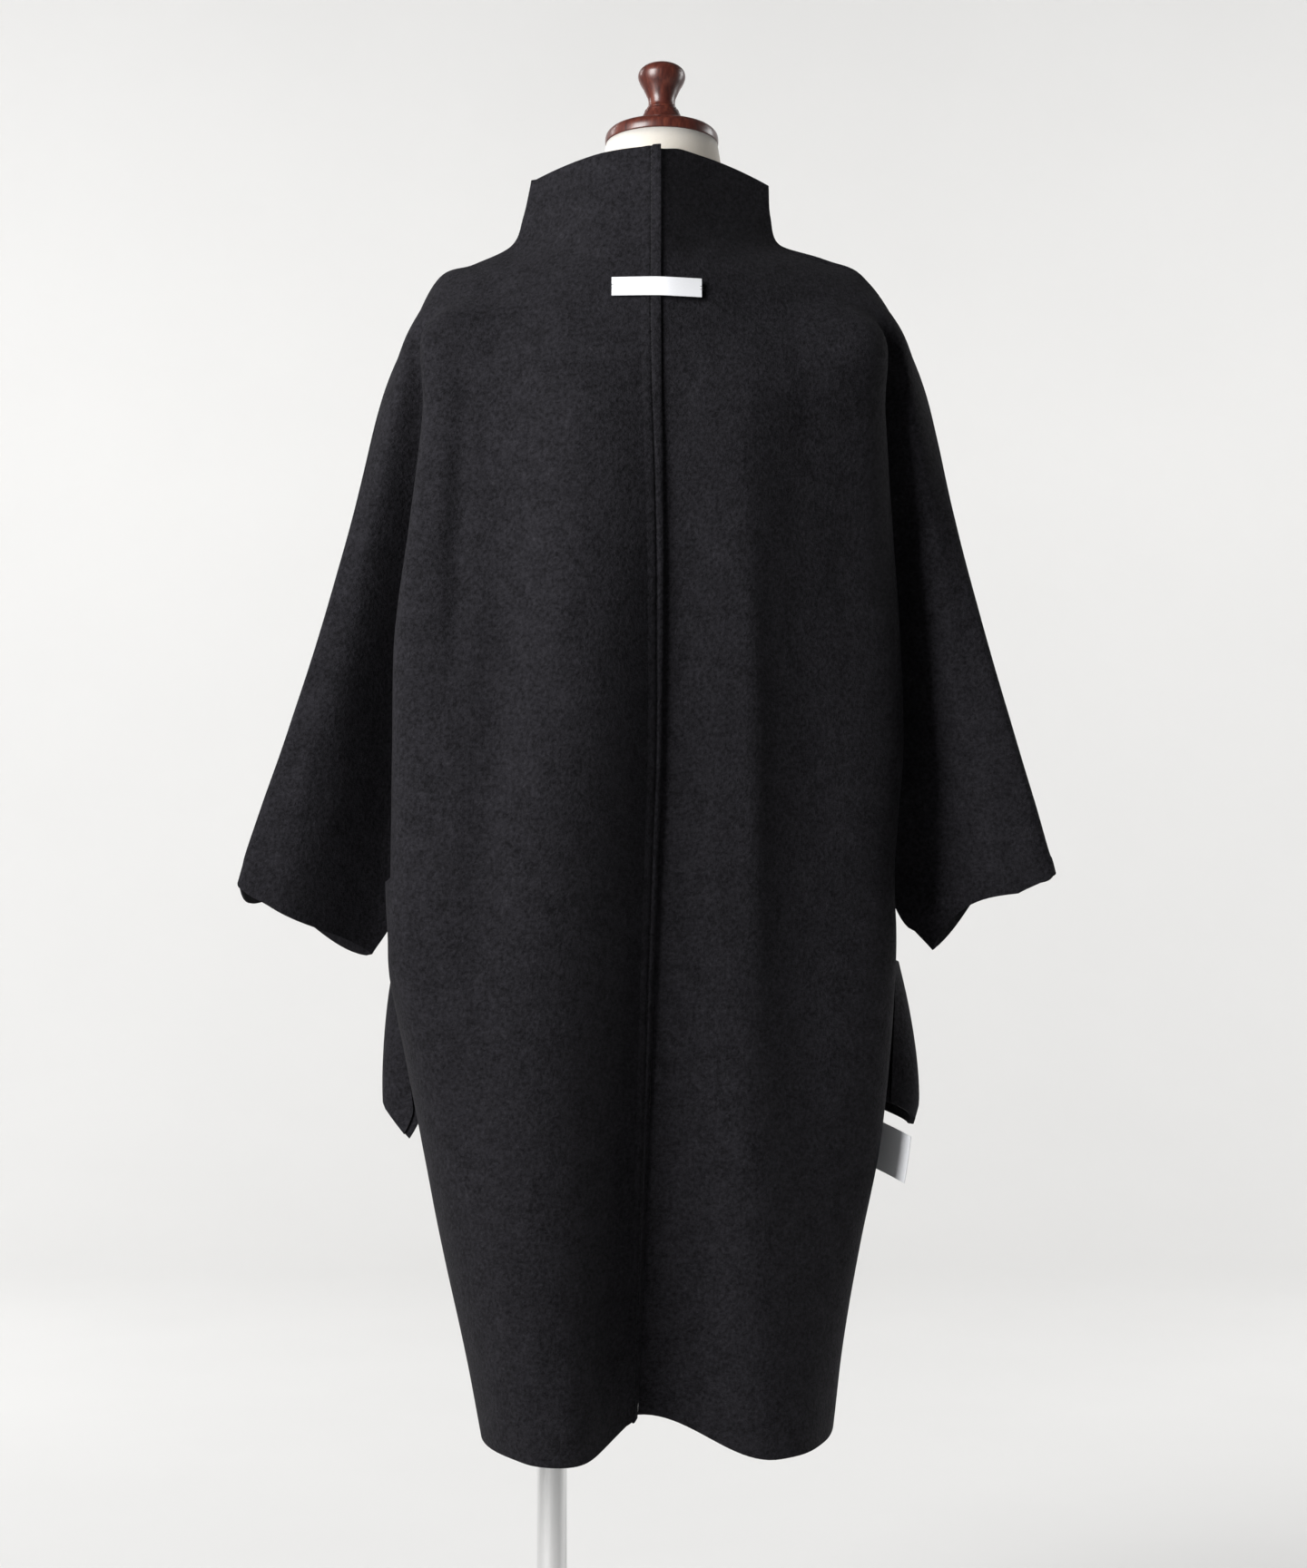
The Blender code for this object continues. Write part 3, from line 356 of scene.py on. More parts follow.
# Turned wooden cap and finial: radius and height of each ring above the neck's top
CAP_PROFILE = (
    (0.0, 0.0), (46.6, 0.0), (47.5, 0.9), (47.5, 5.5), (46.0, 9.0), (42.0, 12.0), (32.0, 14.0), (0.0, 14.2),
)
FINIAL_PROFILE = (
    (0.0, 0.0), (23.6, 0.0), (24.0, 0.8), (22.5, 2.5), (18.4, 7.0), (15.2, 13.0), (14.4, 15.4), (12.8, 16.6),
    (12.5, 18.0), (11.6, 19.2), (11.2, 21.5), (11.5, 25.5), (13.2, 30.0), (15.7, 35.3), (18.4, 40.2),
    (19.9, 44.7), (19.5, 48.7), (17.2, 52.2), (12.5, 55.2), (6.0, 56.5), (0.0, 56.8),
)
TURNED_SIDES = 96
TURNED_STEPS = 4

# Stand, in millimetres, but for the pole's place
BASE_RADIUS = 170.0
BASE_THICK = 11.0
BASE_CHAMFER = 1.0
CORNER_ROUND = 3.0
CORNER_POINTS = 6
POLE_FOOT = (82 * MM, 0.0, 0.0)
POLE_RADIUS = 12.7
SOCKET_RADIUS = 21.0
SOCKET_HEIGHT = 34.0

# Camera, level and behind the coat
CAMERA_PLACE = (-0.00304, 2.8, 0.92)
CAMERA_LENS = 76.75
SENSOR_HEIGHT = 36.0

# Backdrop, in metres: its floor's near end and height, where it starts to sweep up, the sweep's radius and
# points, the wall's top and half the width
FLOOR_END = 9.0
FLOOR_Z = -0.5 * MM
SWEEP_START = -3.5
SWEEP_RADIUS = 1.6
SWEEP_POINTS = 25
WALL_TOP = 5.2
BACKDROP_HALF = 13.0

# Studio: strength of the white world, and each light's place, target and size in metres, its power in watts
# and its spread in degrees
WORLD_STRENGTH = 0.06
StudioLight = namedtuple("StudioLight", "name place target size power spread")
STUDIO_LIGHTS = table(
    StudioLight,
    ("key", (1.27, 1.2, 1.76), (0.0, 0.1, 1.38), (0.9, 1.4), 67.0, 180.0),
    ("side", (-2.1, -0.75, 1.6), (0.0, 0.0, 1.3), (0.7, 1.2), 13.0, 180.0),
    ("low_side", (-2.0, -0.5, 0.7), (-0.2, 0.0, 0.6), (0.4, 0.4), 0.3, 40.0),
    ("back_left", (2.8, -1.8, 2.5), (0.7, -4.5, 0.75), (1.2, 2.0), 93.0, 180.0),
    ("back_right", (-2.8, -1.8, 2.5), (-0.7, -4.5, 0.75), (1.2, 2.0), 75.0, 180.0),
)

SIDES = {"left": 1, "right": -1}
FACES = {"back": 1, "front": -1}


def seam_start(ring, face):
    """Where a ring starts at the centre of the back or of the front, in X and Y."""
    return (ring.seam_x, ring.y_back) if face > 0 else (ring.shift, ring.y_front)


def plain_ring(ring, side, face):
    """Seven points across a plain ring, from the centre seam to the overarm seam, in metres."""
    x_start, y_mid = seam_start(ring, face)
    shares = np.array((0.0, *PLAIN_SHARES, 1.0))
    x = ring.shift + side * ring.half * shares
    x[0] = x_start
    y = ring.y_seam + (y_mid - ring.y_seam) * (1.0 - shares**ring.bow) ** ring.drop
    if face > 0:
        y += ring.lean * x * (1.0 - shares)
    z_seam = ring.z_seam - side * ring.tilt
    z = ring.z_mid + (z_seam - ring.z_mid) * shares**ring.fall
    return np.stack((x, y, z), axis=1) * MM


def fold_ring(ring, fold, overarm, side, face):
    """Seven points across a ring with the underarm fold."""
    x_start, y_mid = seam_start(ring, face)
    half = np.array((0.0, fold.x_lobe, fold.x_flank, fold.x_edge, fold.x_fold, fold.x_ridge, overarm.x))
    x = ring.shift + side * half
    x[0] = x_start
    y = np.array((y_mid, fold.y_lobe, fold.y_flank, fold.y_edge, fold.y_fold, fold.y_ridge, overarm.y))
    z = ring.z_mid + (overarm.z - ring.z_mid) * (half / overarm.x) ** 2
    return np.stack((x, y, z), axis=1) * MM


def body_ring(ring, body, side, face):
    """Five points across the body below the underarm, from the centre seam to the side seam."""
    x_start, y_mid = seam_start(ring, face)
    x = ring.shift + side * np.array((0.0, body.x_lobe, body.x_flank, body.x_edge, ring.x_side))
    x[0] = x_start
    y = np.array((y_mid, body.y_lobe, body.y_flank, body.y_edge, SIDE_Y / MM))
    z_mid = ring.z_mid if face > 0 else body.z_lobe
    z_side = ring.z_side - side * ring.tilt
    z_rises = body.z_lobe + (z_side - body.z_lobe) * (np.arange(4) / 3.0) ** HEM_RISE_POWER
    z = np.array((z_mid, *z_rises))
    return np.stack((x, y, z), axis=1) * MM


def sleeve_ring(ring, side, face):
    """Three points across the sleeve below the underarm: underarm seam, ridge, overarm seam."""
    x = side * np.array((ring.x_under, ring.x_ridge, ring.x_seam))
    y = np.array((SIDE_Y / MM, ring.y_back if face > 0 else ring.y_front, ring.y_seam))
    z = np.array((ring.z_under, ring.z_ridge, ring.z_seam))
    return np.stack((x, y, z), axis=1) * MM


def refined(rings, steps):
    """Rows between rings on smooth curves through the rings' points."""
    rings = np.asarray(rings, float)
    padded = np.concatenate((2 * rings[:1] - rings[1:2], rings, 2 * rings[-1:] - rings[-2:-1]))
    rows = []
    for i in range(1, len(padded) - 2):
        before, start, end, after = padded[i - 1 : i + 3]
        for step in range(steps):
            t = step / steps
            rows.append(
                start
                + 0.5 * t * (end - before)
                + t * t * (before - 2.5 * start + 2 * end - 0.5 * after)
                + t**3 * (1.5 * (start - end) + 0.5 * (after - before))
            )
    rows.append(rings[-1])
    return np.array(rows)


def curve(points, faces, start=None, end=None):
    """A smooth curve through the points, with the given number of faces in each span."""
    points = np.asarray(points)
    steps = np.diff(points, axis=0)
    lengths = np.linalg.norm(steps, axis=1)[:, None]
    along = steps / lengths
    share = lengths[1:] / (lengths[:-1] + lengths[1:])
    slopes = np.empty_like(points)
    slopes[1:-1] = along[:-1] * share + along[1:] * (1.0 - share)
    slopes[0] = along[0] if start is None else start
    slopes[-1] = along[-1] if end is None else end
    found = [points[:1]]
    for i, count in enumerate(faces):
        t = (np.arange(1, count + 1) / count)[:, None]
        found.append(
            (2 * t**3 - 3 * t**2 + 1) * points[i]
            + (t**3 - 2 * t**2 + t) * slopes[i] * lengths[i]
            + (3 * t**2 - 2 * t**3) * points[i + 1]
            + (t**3 - t**2) * slopes[i + 1] * lengths[i]
        )
    return np.concatenate(found)


def slope_between(before, point, after):
    """The slope of a smooth curve at a point between two others, short where it turns sharply."""
    come = point - before
    go = after - point
    share = np.linalg.norm(go) / (np.linalg.norm(come) + np.linalg.norm(go))
    return unit(come) * share + unit(go) * (1.0 - share)


def blended(along, direction, share):
    return direction * share + along * (1.0 - share)


def unit(vector):
    return vector / np.linalg.norm(vector)


def along_rows(values):
    """One value for each row, smooth between those of the rings."""
    return refined(np.array(values)[:, None], ROW_STEPS)[:, 0]


def panel_rings(side_name, face_name):
    """Rings of a panel's body and sleeve, and the body rings' slopes in plan at the centre seam."""
    side = SIDES[side_name]
    face = FACES[face_name]
    folds = BACK_FOLDS[side_name] if face > 0 else FRONT_FOLDS
    bodies = BACK_BODIES[side_name] if face > 0 else FRONT_BODIES
    shared = [plain_ring(ring, side, face) for ring in PLAIN_RINGS]
    shared += [fold_ring(*sizes, side, face) for sizes in zip(FOLD_RINGS, folds, OVERARMS[side_name])]
    body = [ring[: BODY_SPANS + 1] for ring in shared]
    body += [body_ring(ring, half, side, face) for ring, half in zip(BODY_RINGS, bodies)]
    sleeve = [ring[BODY_SPANS:] for ring in shared]
    sleeve += [sleeve_ring(ring, side, face) for ring in SLEEVE_RINGS[side_name]]
    leans = [side * ring.lean - ring.peak for ring in PLAIN_RINGS]
    leans += [side * half.lean for half in folds + bodies]
    return body, sleeve, np.array(leans) * (face > 0)


def hung_row(points, outward, turn, hem_power):
    """A body row below the underarm, which falls from the centre seam towards the lobe."""
    row = curve(points, SPAN_FACES[:BODY_SPANS], outward, turn)
    first = SPAN_FACES[0]
    across = np.arange(first + 1) / first
    valley = 0.5 + 0.5 * np.cos(math.pi * across**hem_power)
    row[: first + 1, 2] = points[1, 2] + (points[0, 2] - points[1, 2]) * valley
    return row


def cuff_rows(side_name, face_name, sleeve, through_fold):
    """The sleeve's rows below the underarm, down to the cuff. sleeve starts with the last row above them."""
    face = FACES[face_name]
    below = [(0.0, 0.0)]
    below += [(ring.lift if face > 0 else -ring.sag, ring.slope) for ring in SLEEVE_RINGS[side_name]]
    below = refined(below, ROW_STEPS)
    last = len(below) - 1
    rows = []
    for i in range(1, last + 1):
        lift, slope = below[i]
        inner = blended(unit(sleeve[i][1] - sleeve[i][0]), through_fold, 1.0 - i / last)
        over = np.array((0.0, -face * OVERARM_TURN, slope))
        row = curve(sleeve[i], SPAN_FACES[BODY_SPANS:], inner, over)
        across = np.minimum(np.arange(len(row)) / SPAN_FACES[BODY_SPANS], 1.0)
        row[:, 2] += lift * MM * np.sin(math.pi * across ** LIFT_POWERS[face_name, side_name])
        rows.append(row)
    return rows


def panel_rows(side_name, face_name):
    """The body rows and sleeve rows of one panel, and the number of the last row that crosses both."""
    forward = np.array((0.0, -FACES[face_name], 0.0))
    body, sleeve, leans = panel_rings(side_name, face_name)
    rounds = [ring.round for ring in PLAIN_RINGS] + [1.0] * (len(sleeve) - len(PLAIN_RINGS))
    body = refined(body, ROW_STEPS)
    sleeve = refined(sleeve, ROW_STEPS)
    rounds = along_rows(rounds)
    leans = along_rows(leans)
    last_shared = (len(PLAIN_RINGS) + len(FOLD_RINGS) - 1) * ROW_STEPS
    at_fold = sum(SPAN_FACES[:BODY_SPANS])
    body_rows = []
    sleeve_rows = []
    for i, row in enumerate(body):
        outward = np.array((SIDES[side_name], leans[i], 0.0))
        if i <= last_shared:
            points = np.concatenate((row, sleeve[i][1:]))
            over = blended(unit(points[-1] - points[-2]), forward * OVERARM_TURN, rounds[i])
            whole = curve(points, SPAN_FACES, outward, over)
            body_rows.append(whole[: at_fold + 1])
            sleeve_rows.append(whole[at_fold:])
            through_fold = slope_between(*points[BODY_SPANS - 1 : BODY_SPANS + 2])
        else:
            share = min(1.0, (i - last_shared) / (FOLD_FADE_RINGS * ROW_STEPS))
            turn = blended(unit(row[-1] - row[-2]), forward, share)
            body_rows.append(hung_row(row, outward, turn, HEM_POWER[side_name]))
    sleeve_rows += cuff_rows(side_name, face_name, sleeve[last_shared:], through_fold)
    return np.array(body_rows), np.array(sleeve_rows), last_shared


def grid_index(rows, columns):
    """Point numbers of a grid, rows running down."""
    return np.arange(rows * columns).reshape(rows, columns)


def grid_quads(index, flip):
    """Quads over a grid of point numbers."""
    a, b = index[:-1, :-1].ravel(), index[:-1, 1:].ravel()
    c, d = index[1:, 1:].ravel(), index[1:, :-1].ravel()
    quads = np.stack((a, d, c, b), axis=1)
    return quads[:, ::-1] if flip else quads


def round_faces(rings, sides, closed=False):
    """Quads between rings of points, and from the last ring to the first if they close."""
    faces = []
    for i in range(rings if closed else rings - 1):
        low, high = i * sides, (i + 1) % rings * sides
        for j in range(sides):
            k = (j + 1) % sides
            faces.append((low + j, low + k, high + k, high + j))
    return faces


def capped_faces(rings, sides):
    """Quads between rings of points, with a face over the first ring and one over the last."""
    caps = [tuple(range(sides))[::-1], tuple(range((rings - 1) * sides, rings * sides))]
    return round_faces(rings, sides) + caps


def turns(sides):
    """Angles all round, one for each side."""
    return np.arange(sides) * 2 * math.pi / sides


def normals_of(points, quads):
    """A unit normal at each point, from the quads around it."""
    across = points[quads[:, 2]] - points[quads[:, 0]]
    along = points[quads[:, 3]] - points[quads[:, 1]]
    normals = np.zeros_like(points)
    for corner in range(4):
        np.add.at(normals, quads[:, corner], np.cross(across, along))
    return normals / np.linalg.norm(normals, axis=1, keepdims=True)


def flattened(normals, rows, axis):
    """Normals at a seam turned into the seam's plane, longer where that cuts the wall slantwise."""
    flat = normals[rows].copy()
    flat[:, axis] = 0.0
    size = np.linalg.norm(flat, axis=1, keepdims=True)
    normals[rows] = flat / size * np.minimum(1.0 / size, MOST_MITRE)


def creased(points, creases):
    """How far each point is moved out by the creases, which are lines in the XZ plane."""
    moved = np.zeros(len(points))
    for crease in creases:
        top = np.array((crease.x_top, crease.z_top)) * MM
        line = np.array((crease.x_low, crease.z_low)) * MM - top
        length = np.linalg.norm(line)
        from_top = points[:, (0, 2)] - top
        along = from_top @ line / length**2
        inside = np.clip(along, 0.0, 1.0)
        beside = (from_top[:, 0] * line[1] - from_top[:, 1] * line[0]) / length
        beside += crease.bend * MM * 4 * inside * (1.0 - inside)
        fade = np.where((along > 0.0) & (along < 1.0), np.sin(math.pi * inside) ** CREASE_FADE_POWER, 0.0)
        moved += crease.depth * MM * fade * np.exp(-((beside / (crease.width * MM)) ** 2))
    return moved


def ripples(points):
    """The slight unevenness of a thick cloth, from smooth noise."""
    return np.array([noise.noise(Vector(point) * RIPPLE_SCALE) for point in points]) * RIPPLE


class Panel:
    """One cut piece of cloth: points on its outer side, quads, and normals for its wall."""

    def __init__(self, side_name, face_name):
        side = SIDES[side_name]
        face = FACES[face_name]
        body, sleeve, last_shared = panel_rows(side_name, face_name)
        self.columns = body.shape[1]
        if face < 0:
            other = {"left": "right", "right": "left"}[side_name]
            beyond = panel_rows(other, face_name)[0]
            body = np.concatenate((beyond[:, OVERLAP_COLUMNS * FINER : 0 : -1], body), axis=1)
        self.body_index = grid_index(*body.shape[:2])
        sleeve_index = np.empty(sleeve.shape[:2], int)
        sleeve_index[: last_shared + 1, 0] = self.body_index[: last_shared + 1, -1]
        fresh = np.ones(sleeve.shape[:2], bool)
        fresh[: last_shared + 1, 0] = False
        sleeve_index[fresh] = self.body_index.size + np.arange(fresh.sum())
        self.sleeve_index = sleeve_index
        self.points = np.concatenate((body.reshape(-1, 3), sleeve[fresh]))
        flip = side * face > 0
        self.quads = np.concatenate((grid_quads(self.body_index, flip), grid_quads(sleeve_index, flip)))
        self.normals = normals_of(self.points, self.quads)
        self.centre = self.body_index[:, 0]
        below = slice(last_shared + 1, None)
        low_seams = np.concatenate((self.body_index[below, -1], sleeve_index[below, 0]))
        apart = np.maximum(face * (self.points[low_seams, 1] - SIDE_Y), 0.0)
        self.points[low_seams, 1] = SIDE_Y + face * apart
        seams = np.concatenate((low_seams, sleeve_index[:, -1]))
        self.points[seams, 1] += face * SEWN_GAP / 2
        if face > 0:
            self.points[self.centre, 0] += side * SEAM_GAP / 2
        elif side > 0:
            self.lift_front()
        self.crease(face_name, side_name, seams)
        if face > 0 > side:
            self.drop_rim()
        self.normals = normals_of(self.points, self.quads)
        flattened(self.normals, seams, 1)
        if face > 0:
            flattened(self.normals, self.centre, 0)

    def lift_front(self):
        """Raises the front that laps over the other one."""
        places = np.arange(len(LIFT_BY_COLUMN)) * FINER
        shares = np.interp(np.arange(self.body_index.shape[1]), places, LIFT_BY_COLUMN)
        for column, share in enumerate(shares):
            rows = self.body_index[:, column]
            self.points[rows] += self.normals[rows] * FRONT_LIFT * share

    def drop_rim(self):
        """Lowers the rim beside the centre seam."""
        top = self.points[self.centre[0]]
        beside = np.abs(self.points[:, 0] - top[0]) / RIM_REACH
        below = (top[2] - self.points[:, 2]) / RIM_DEPTH
        share = np.clip(1.0 - beside, 0.0, 1.0) * np.clip(1.0 - below, 0.0, 1.0)
        self.points[:, 2] -= RIM_DROP * share * share * (3.0 - 2.0 * share)

    def crease(self, face_name, side_name, seams):
        """Moves the cloth in and out at its creases, but not at its seams."""
        body = self.body_index.ravel()
        sleeve = self.sleeve_index[:, 1:].ravel()
        moved = ripples(self.points)
        moved[body] += creased(self.points[body], CREASES[face_name, side_name])
        moved[sleeve] += creased(self.points[sleeve], SLEEVE_CREASES[face_name, side_name])
        moved[seams] = 0.0
        moved[self.centre] = 0.0
        self.points += self.normals * moved[:, None]


def add_mesh(name, points, faces, material, sharp_angle=SHARP_ANGLE):
    """A piece of the scene, smooth but for edges that turn further than the angle in degrees."""
    mesh = bpy.data.meshes.new(name)
    faces = faces.tolist() if isinstance(faces, np.ndarray) else faces
    mesh.from_pydata(np.asarray(points).tolist(), [], faces)
    mesh.validate()
    mesh.materials.append(material)
    mesh.shade_smooth()
    mesh.set_sharp_from_angle(angle=math.radians(sharp_angle))
    piece = bpy.data.objects.new(name, mesh)
    bpy.context.scene.collection.objects.link(piece)
    return piece


def add_shell(name, outer, inner, quads, material):
    """A closed shell between two layers of the same quads."""
    count = len(outer)
    starts = quads.ravel()
    ends = np.roll(quads, -1, axis=1).ravel()
    rim = ~np.isin(starts * count + ends, ends * count + starts)
    a, b = starts[rim], ends[rim]
    rims = np.stack((b, a, a + count, b + count), axis=1)
    faces = np.concatenate((quads, quads[:, ::-1] + count, rims))
    return add_mesh(name, np.concatenate((outer, inner)), faces, material)


def add_cloth(name, base, quads, thick, material, clear=0.0):
    """A shell of cloth that stands clear of a layer of points, and the layer's normals."""
    normals = normals_of(base, quads)
    low = base + normals * clear
    return add_shell(name, low + normals * thick, low, quads, material), normals


def placed(piece, slot, *nodes):
    """A piece that rides on the one body and stands for its nodes, whose parts it hides; slot is not used.
    """
    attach(piece, "root")
    if nodes:
        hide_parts(*nodes)
    return piece


def lengths_along(points):
    """The way along a line of points, from its start to each of them."""
    return np.concatenate(([0.0], np.cumsum(np.linalg.norm(np.diff(points, axis=0), axis=1))))


def between(place, places, values):
    """Rows of values at a place, straight between the places that they are known for."""
    return np.stack([np.interp(place, places, column) for column in values.T], axis=-1)


def way_along(points, normals, distance):
    """The point and normal at a distance along a line of points."""
    found = between(distance, lengths_along(points), np.hstack((points, normals)))
    if distance < 0.0:
        found[:3] += unit(points[1] - points[0]) * distance
    return found[:3], unit(found[3:])


def column_at(panel, z, column):
    """A point and a normal of a body column at a height."""
    rows = panel.body_index[:, column]
    points = panel.points[rows]
    found = between(-z, -points[:, 2], np.hstack((points, panel.normals[rows])))
    return found[:3], unit(found[3:])


def front_at(panel, z, reach):
    """The front panel's outer point and normal at a height, a given way round from the side seam."""
    places = [column_at(panel, z, -1 - i) for i in range(panel.columns)]
    points = np.array([place[0] for place in places])
    normals = np.array([place[1] for place in places])
    return way_along(points, normals, reach)


def back_at(panels, x, z):
    """The back's outer point and normal at a place across the centre seam."""
    side_name = "left" if x > panels["back", "left"].points[0, 0] else "right"
    panel = panels["back", side_name]
    values = np.array([np.concatenate(column_at(panel, z, column)) for column in range(panel.columns)])
    values = values[np.argsort(values[:, 0])]
    found = between(x, values[:, 0], values)
    return found[:3], unit(found[3:])


def make_panels(wool):
    panels = {}
    for face_name in FACES:
        for side_name in SIDES:
            node = f"{face_name}_{side_name}"
            panel = Panel(side_name, face_name)
            inner = panel.points - panel.normals * CLOTH
            piece = add_shell(f"{node}_cloth", panel.points, inner, panel.quads, wool)
            placed(piece, "black_wool", node)
            panels[face_name, side_name] = panel
    return panels


def make_strip(name, layers, flip, wool):
    """A seam allowance between two layers of points, each row across the strip."""
    low, high = layers
    quads = grid_quads(grid_index(*low.shape[:2]), flip)
    piece = add_shell(f"{name}_cloth", high.reshape(-1, 3), low.reshape(-1, 3), quads, wool)
    placed(piece, "black_wool", name)


def strip_layers(panel, rows, section, swell, stand):
    """The under and upper side of a strip along one edge of a panel, where each of the panel's rows starts.

    swell thickens each row, and stand lifts the raw edge of each row.
    """
    low = []
    high = []
    for row, size, lifted in zip(rows, swell, stand):
        for place in section:
            point, normal = way_along(panel.points[row], panel.normals[row], place.across * MM)
            free = max(0.0, 1.0 - place.across / CENTRE_GROOVE.across) * lifted
            low.append(point + normal * (STRIP_LOW + 0.5 * free))
            high.append(point + normal * (STRIP_LOW + place.top * size * MM + free))
    shape = (len(rows), len(section), 3)
    return np.array(low).reshape(shape), np.array(high).reshape(shape)


def add_stitch(points, faces, places, normals):
    """One stitch: a short thread through four places, thin at its ends."""
    first = len(points)
    along = unit(places[-1] - places[0])
    for place, normal, part in zip(places, normals, STITCH):
        beside = unit(np.cross(along, normal))
        middle = place + normal * part.height * STITCH_RADIUS
        for angle in turns(STITCH_SIDES):
            spoke = math.cos(angle) * beside + math.sin(angle) * normal
            points.append(middle + spoke * STITCH_RADIUS * part.size)
    for face in capped_faces(len(STITCH), STITCH_SIDES):
        faces.append(tuple(first + corner for corner in face))


def make_stitches(name, panel, rows, groove, thread):
    """Short straight stitches along the sewn edge of a strip."""
    line = []
    for row in rows:
        point, normal = way_along(panel.points[row], panel.normals[row], groove.across * MM)
        line.append(np.concatenate((point + normal * groove.top * MM, normal)))
    line = np.array(line)
    way = lengths_along(line[:, :3])
    shares = np.array([part.along for part in STITCH])
    points = []
    faces = []
    for start in np.arange(0.5 * STITCH_PITCH, way[-1] - STITCH_PITCH, STITCH_PITCH):
        found = between(start + shares * STITCH_LENGTH, way, line)
        add_stitch(points, faces, found[:, :3], [unit(normal) for normal in found[:, 3:]])
    placed(add_mesh(name, points, faces, thread, THREAD_SHARP_ANGLE), "black_wool")


def make_centre_strip(back, wool, thread):
    """The centre back allowance lies on the left back."""
    heights = back.points[back.centre, 2] / MM
    span = CENTRE_STANDS.z_top - CENTRE_STANDS.z_low
    down = np.clip((CENTRE_STANDS.z_top - heights) / span, 0.0, 1.0)
    stand = CENTRE_STANDS.height * MM * np.sin(math.pi * down) ** CENTRE_STANDS.power
    layers = strip_layers(back, back.body_index, CENTRE_STRIP, np.ones(len(heights)), stand)
    for layer in layers:
        layer[0, :STRIP_CORNER_POINTS, 2] += STRIP_CORNER
        layer[-1, :STRIP_END_POINTS, 2] += STRIP_END
    make_strip("back_seam_strip", layers, True, wool)
    make_stitches("back_seam_stitches", back, back.body_index, CENTRE_GROOVE, thread)


def make_overarm_strip(side_name, front, wool, thread):
    """The overarm allowance of each side lies on the front."""
    side = SIDES[side_name]
    rows = front.sleeve_index[:, ::-1]
    swell = np.ones(len(rows))
    if side < 0:
        out = np.abs(front.points[rows[:, 0], 0]) / MM
        along = np.clip((out - SHOULDER_X[0]) / (SHOULDER_X[1] - SHOULDER_X[0]), 0.0, 1.0)
        swell += SHOULDER_SWELL * np.sin(math.pi * along) ** SHOULDER_SWELL_POWER
    layers = strip_layers(front, rows, OVERARM_STRIP, swell, np.zeros(len(rows)))
    if side > 0:
        for layer in layers:
            layer[0, :, 2] += COLLAR_TAB
    make_strip(f"overarm_strip_{side_name}", layers, side > 0, wool)
    make_stitches(f"overarm_stitches_{side_name}", front, rows, OVERARM_GROOVE, thread)


def pocket_point(size, panel, down, share, sunk):
    """A point of a pocket bag, by its share of the way down and round, off the front panel.

    A sunk layer takes no part in the bag's swing at the mouth and meets the other one further on and below.
    """
    before_peak = max(0.0, 1.0 - share / POCKET_PEAK)
    top = size.z_top - POCKET_TOP_FALL * share**2
    rising = math.sin(0.5 * math.pi * min(1.0, share / POCKET_RISE_END))
    low = size.z_corner + size.rise * rising + POCKET_TOP_FALL * share**2
    low += size.seam_rise * before_peak
    z = top + (low - top) * down
    depth = (size.z_top - z) / (size.z_top - size.z_corner)
    swung = math.sin(0.5 * math.pi * min(1.0, max(0.0, depth)))
    swing = size.swing_top + (size.swing_low - size.swing_top) * swung
    bulge = share / POCKET_PEAK * math.exp(1.0 - share / POCKET_PEAK)
    below = max(0.0, (size.z_mouth_end - z) / (size.z_mouth_end - size.z_corner))
    corner = size.corner_out * below**POCKET_CORNER_POWER * before_peak
    swing *= 1.0 - size.tuck * below
    if sunk:
        open_share = min(1.0, max(0.0, (z - size.z_mouth_end) / POCKET_CLOSES))
        swing *= 1.0 - open_share * max(0.0, 1.0 - share / POCKET_MEETS)
    point, normal = front_at(panel, z * MM, share * size.reach * MM)
    return point + normal * (POCKET_CLEAR + swing * bulge + corner) * MM


def make_pocket(side_name, panel, wool):
    """Two bag layers that hang out of the side seam, part at the mouth and lie round the front hip."""
    size = POCKETS[side_name]
    quads = grid_quads(grid_index(POCKET_ROWS, POCKET_COLUMNS), SIDES[side_name] > 0)
    for layer_name, start, clear in (("front", 0.0, 0.0), ("back", POCKET_MOUTH, CLOTH + SEAM_GAP)):
        sunk = layer_name == "front"
        layer = []
        for down in np.linspace(0.0, 1.0, POCKET_ROWS):
            for share in np.linspace(start, 1.0, POCKET_COLUMNS):
                layer.append(pocket_point(size, panel, down, share, sunk))
        node = f"pocket_{side_name}_{layer_name}"
        piece, _ = add_cloth(f"{node}_cloth", np.array(layer), quads, CLOTH, wool, clear)
        placed(piece, "black_wool", node)


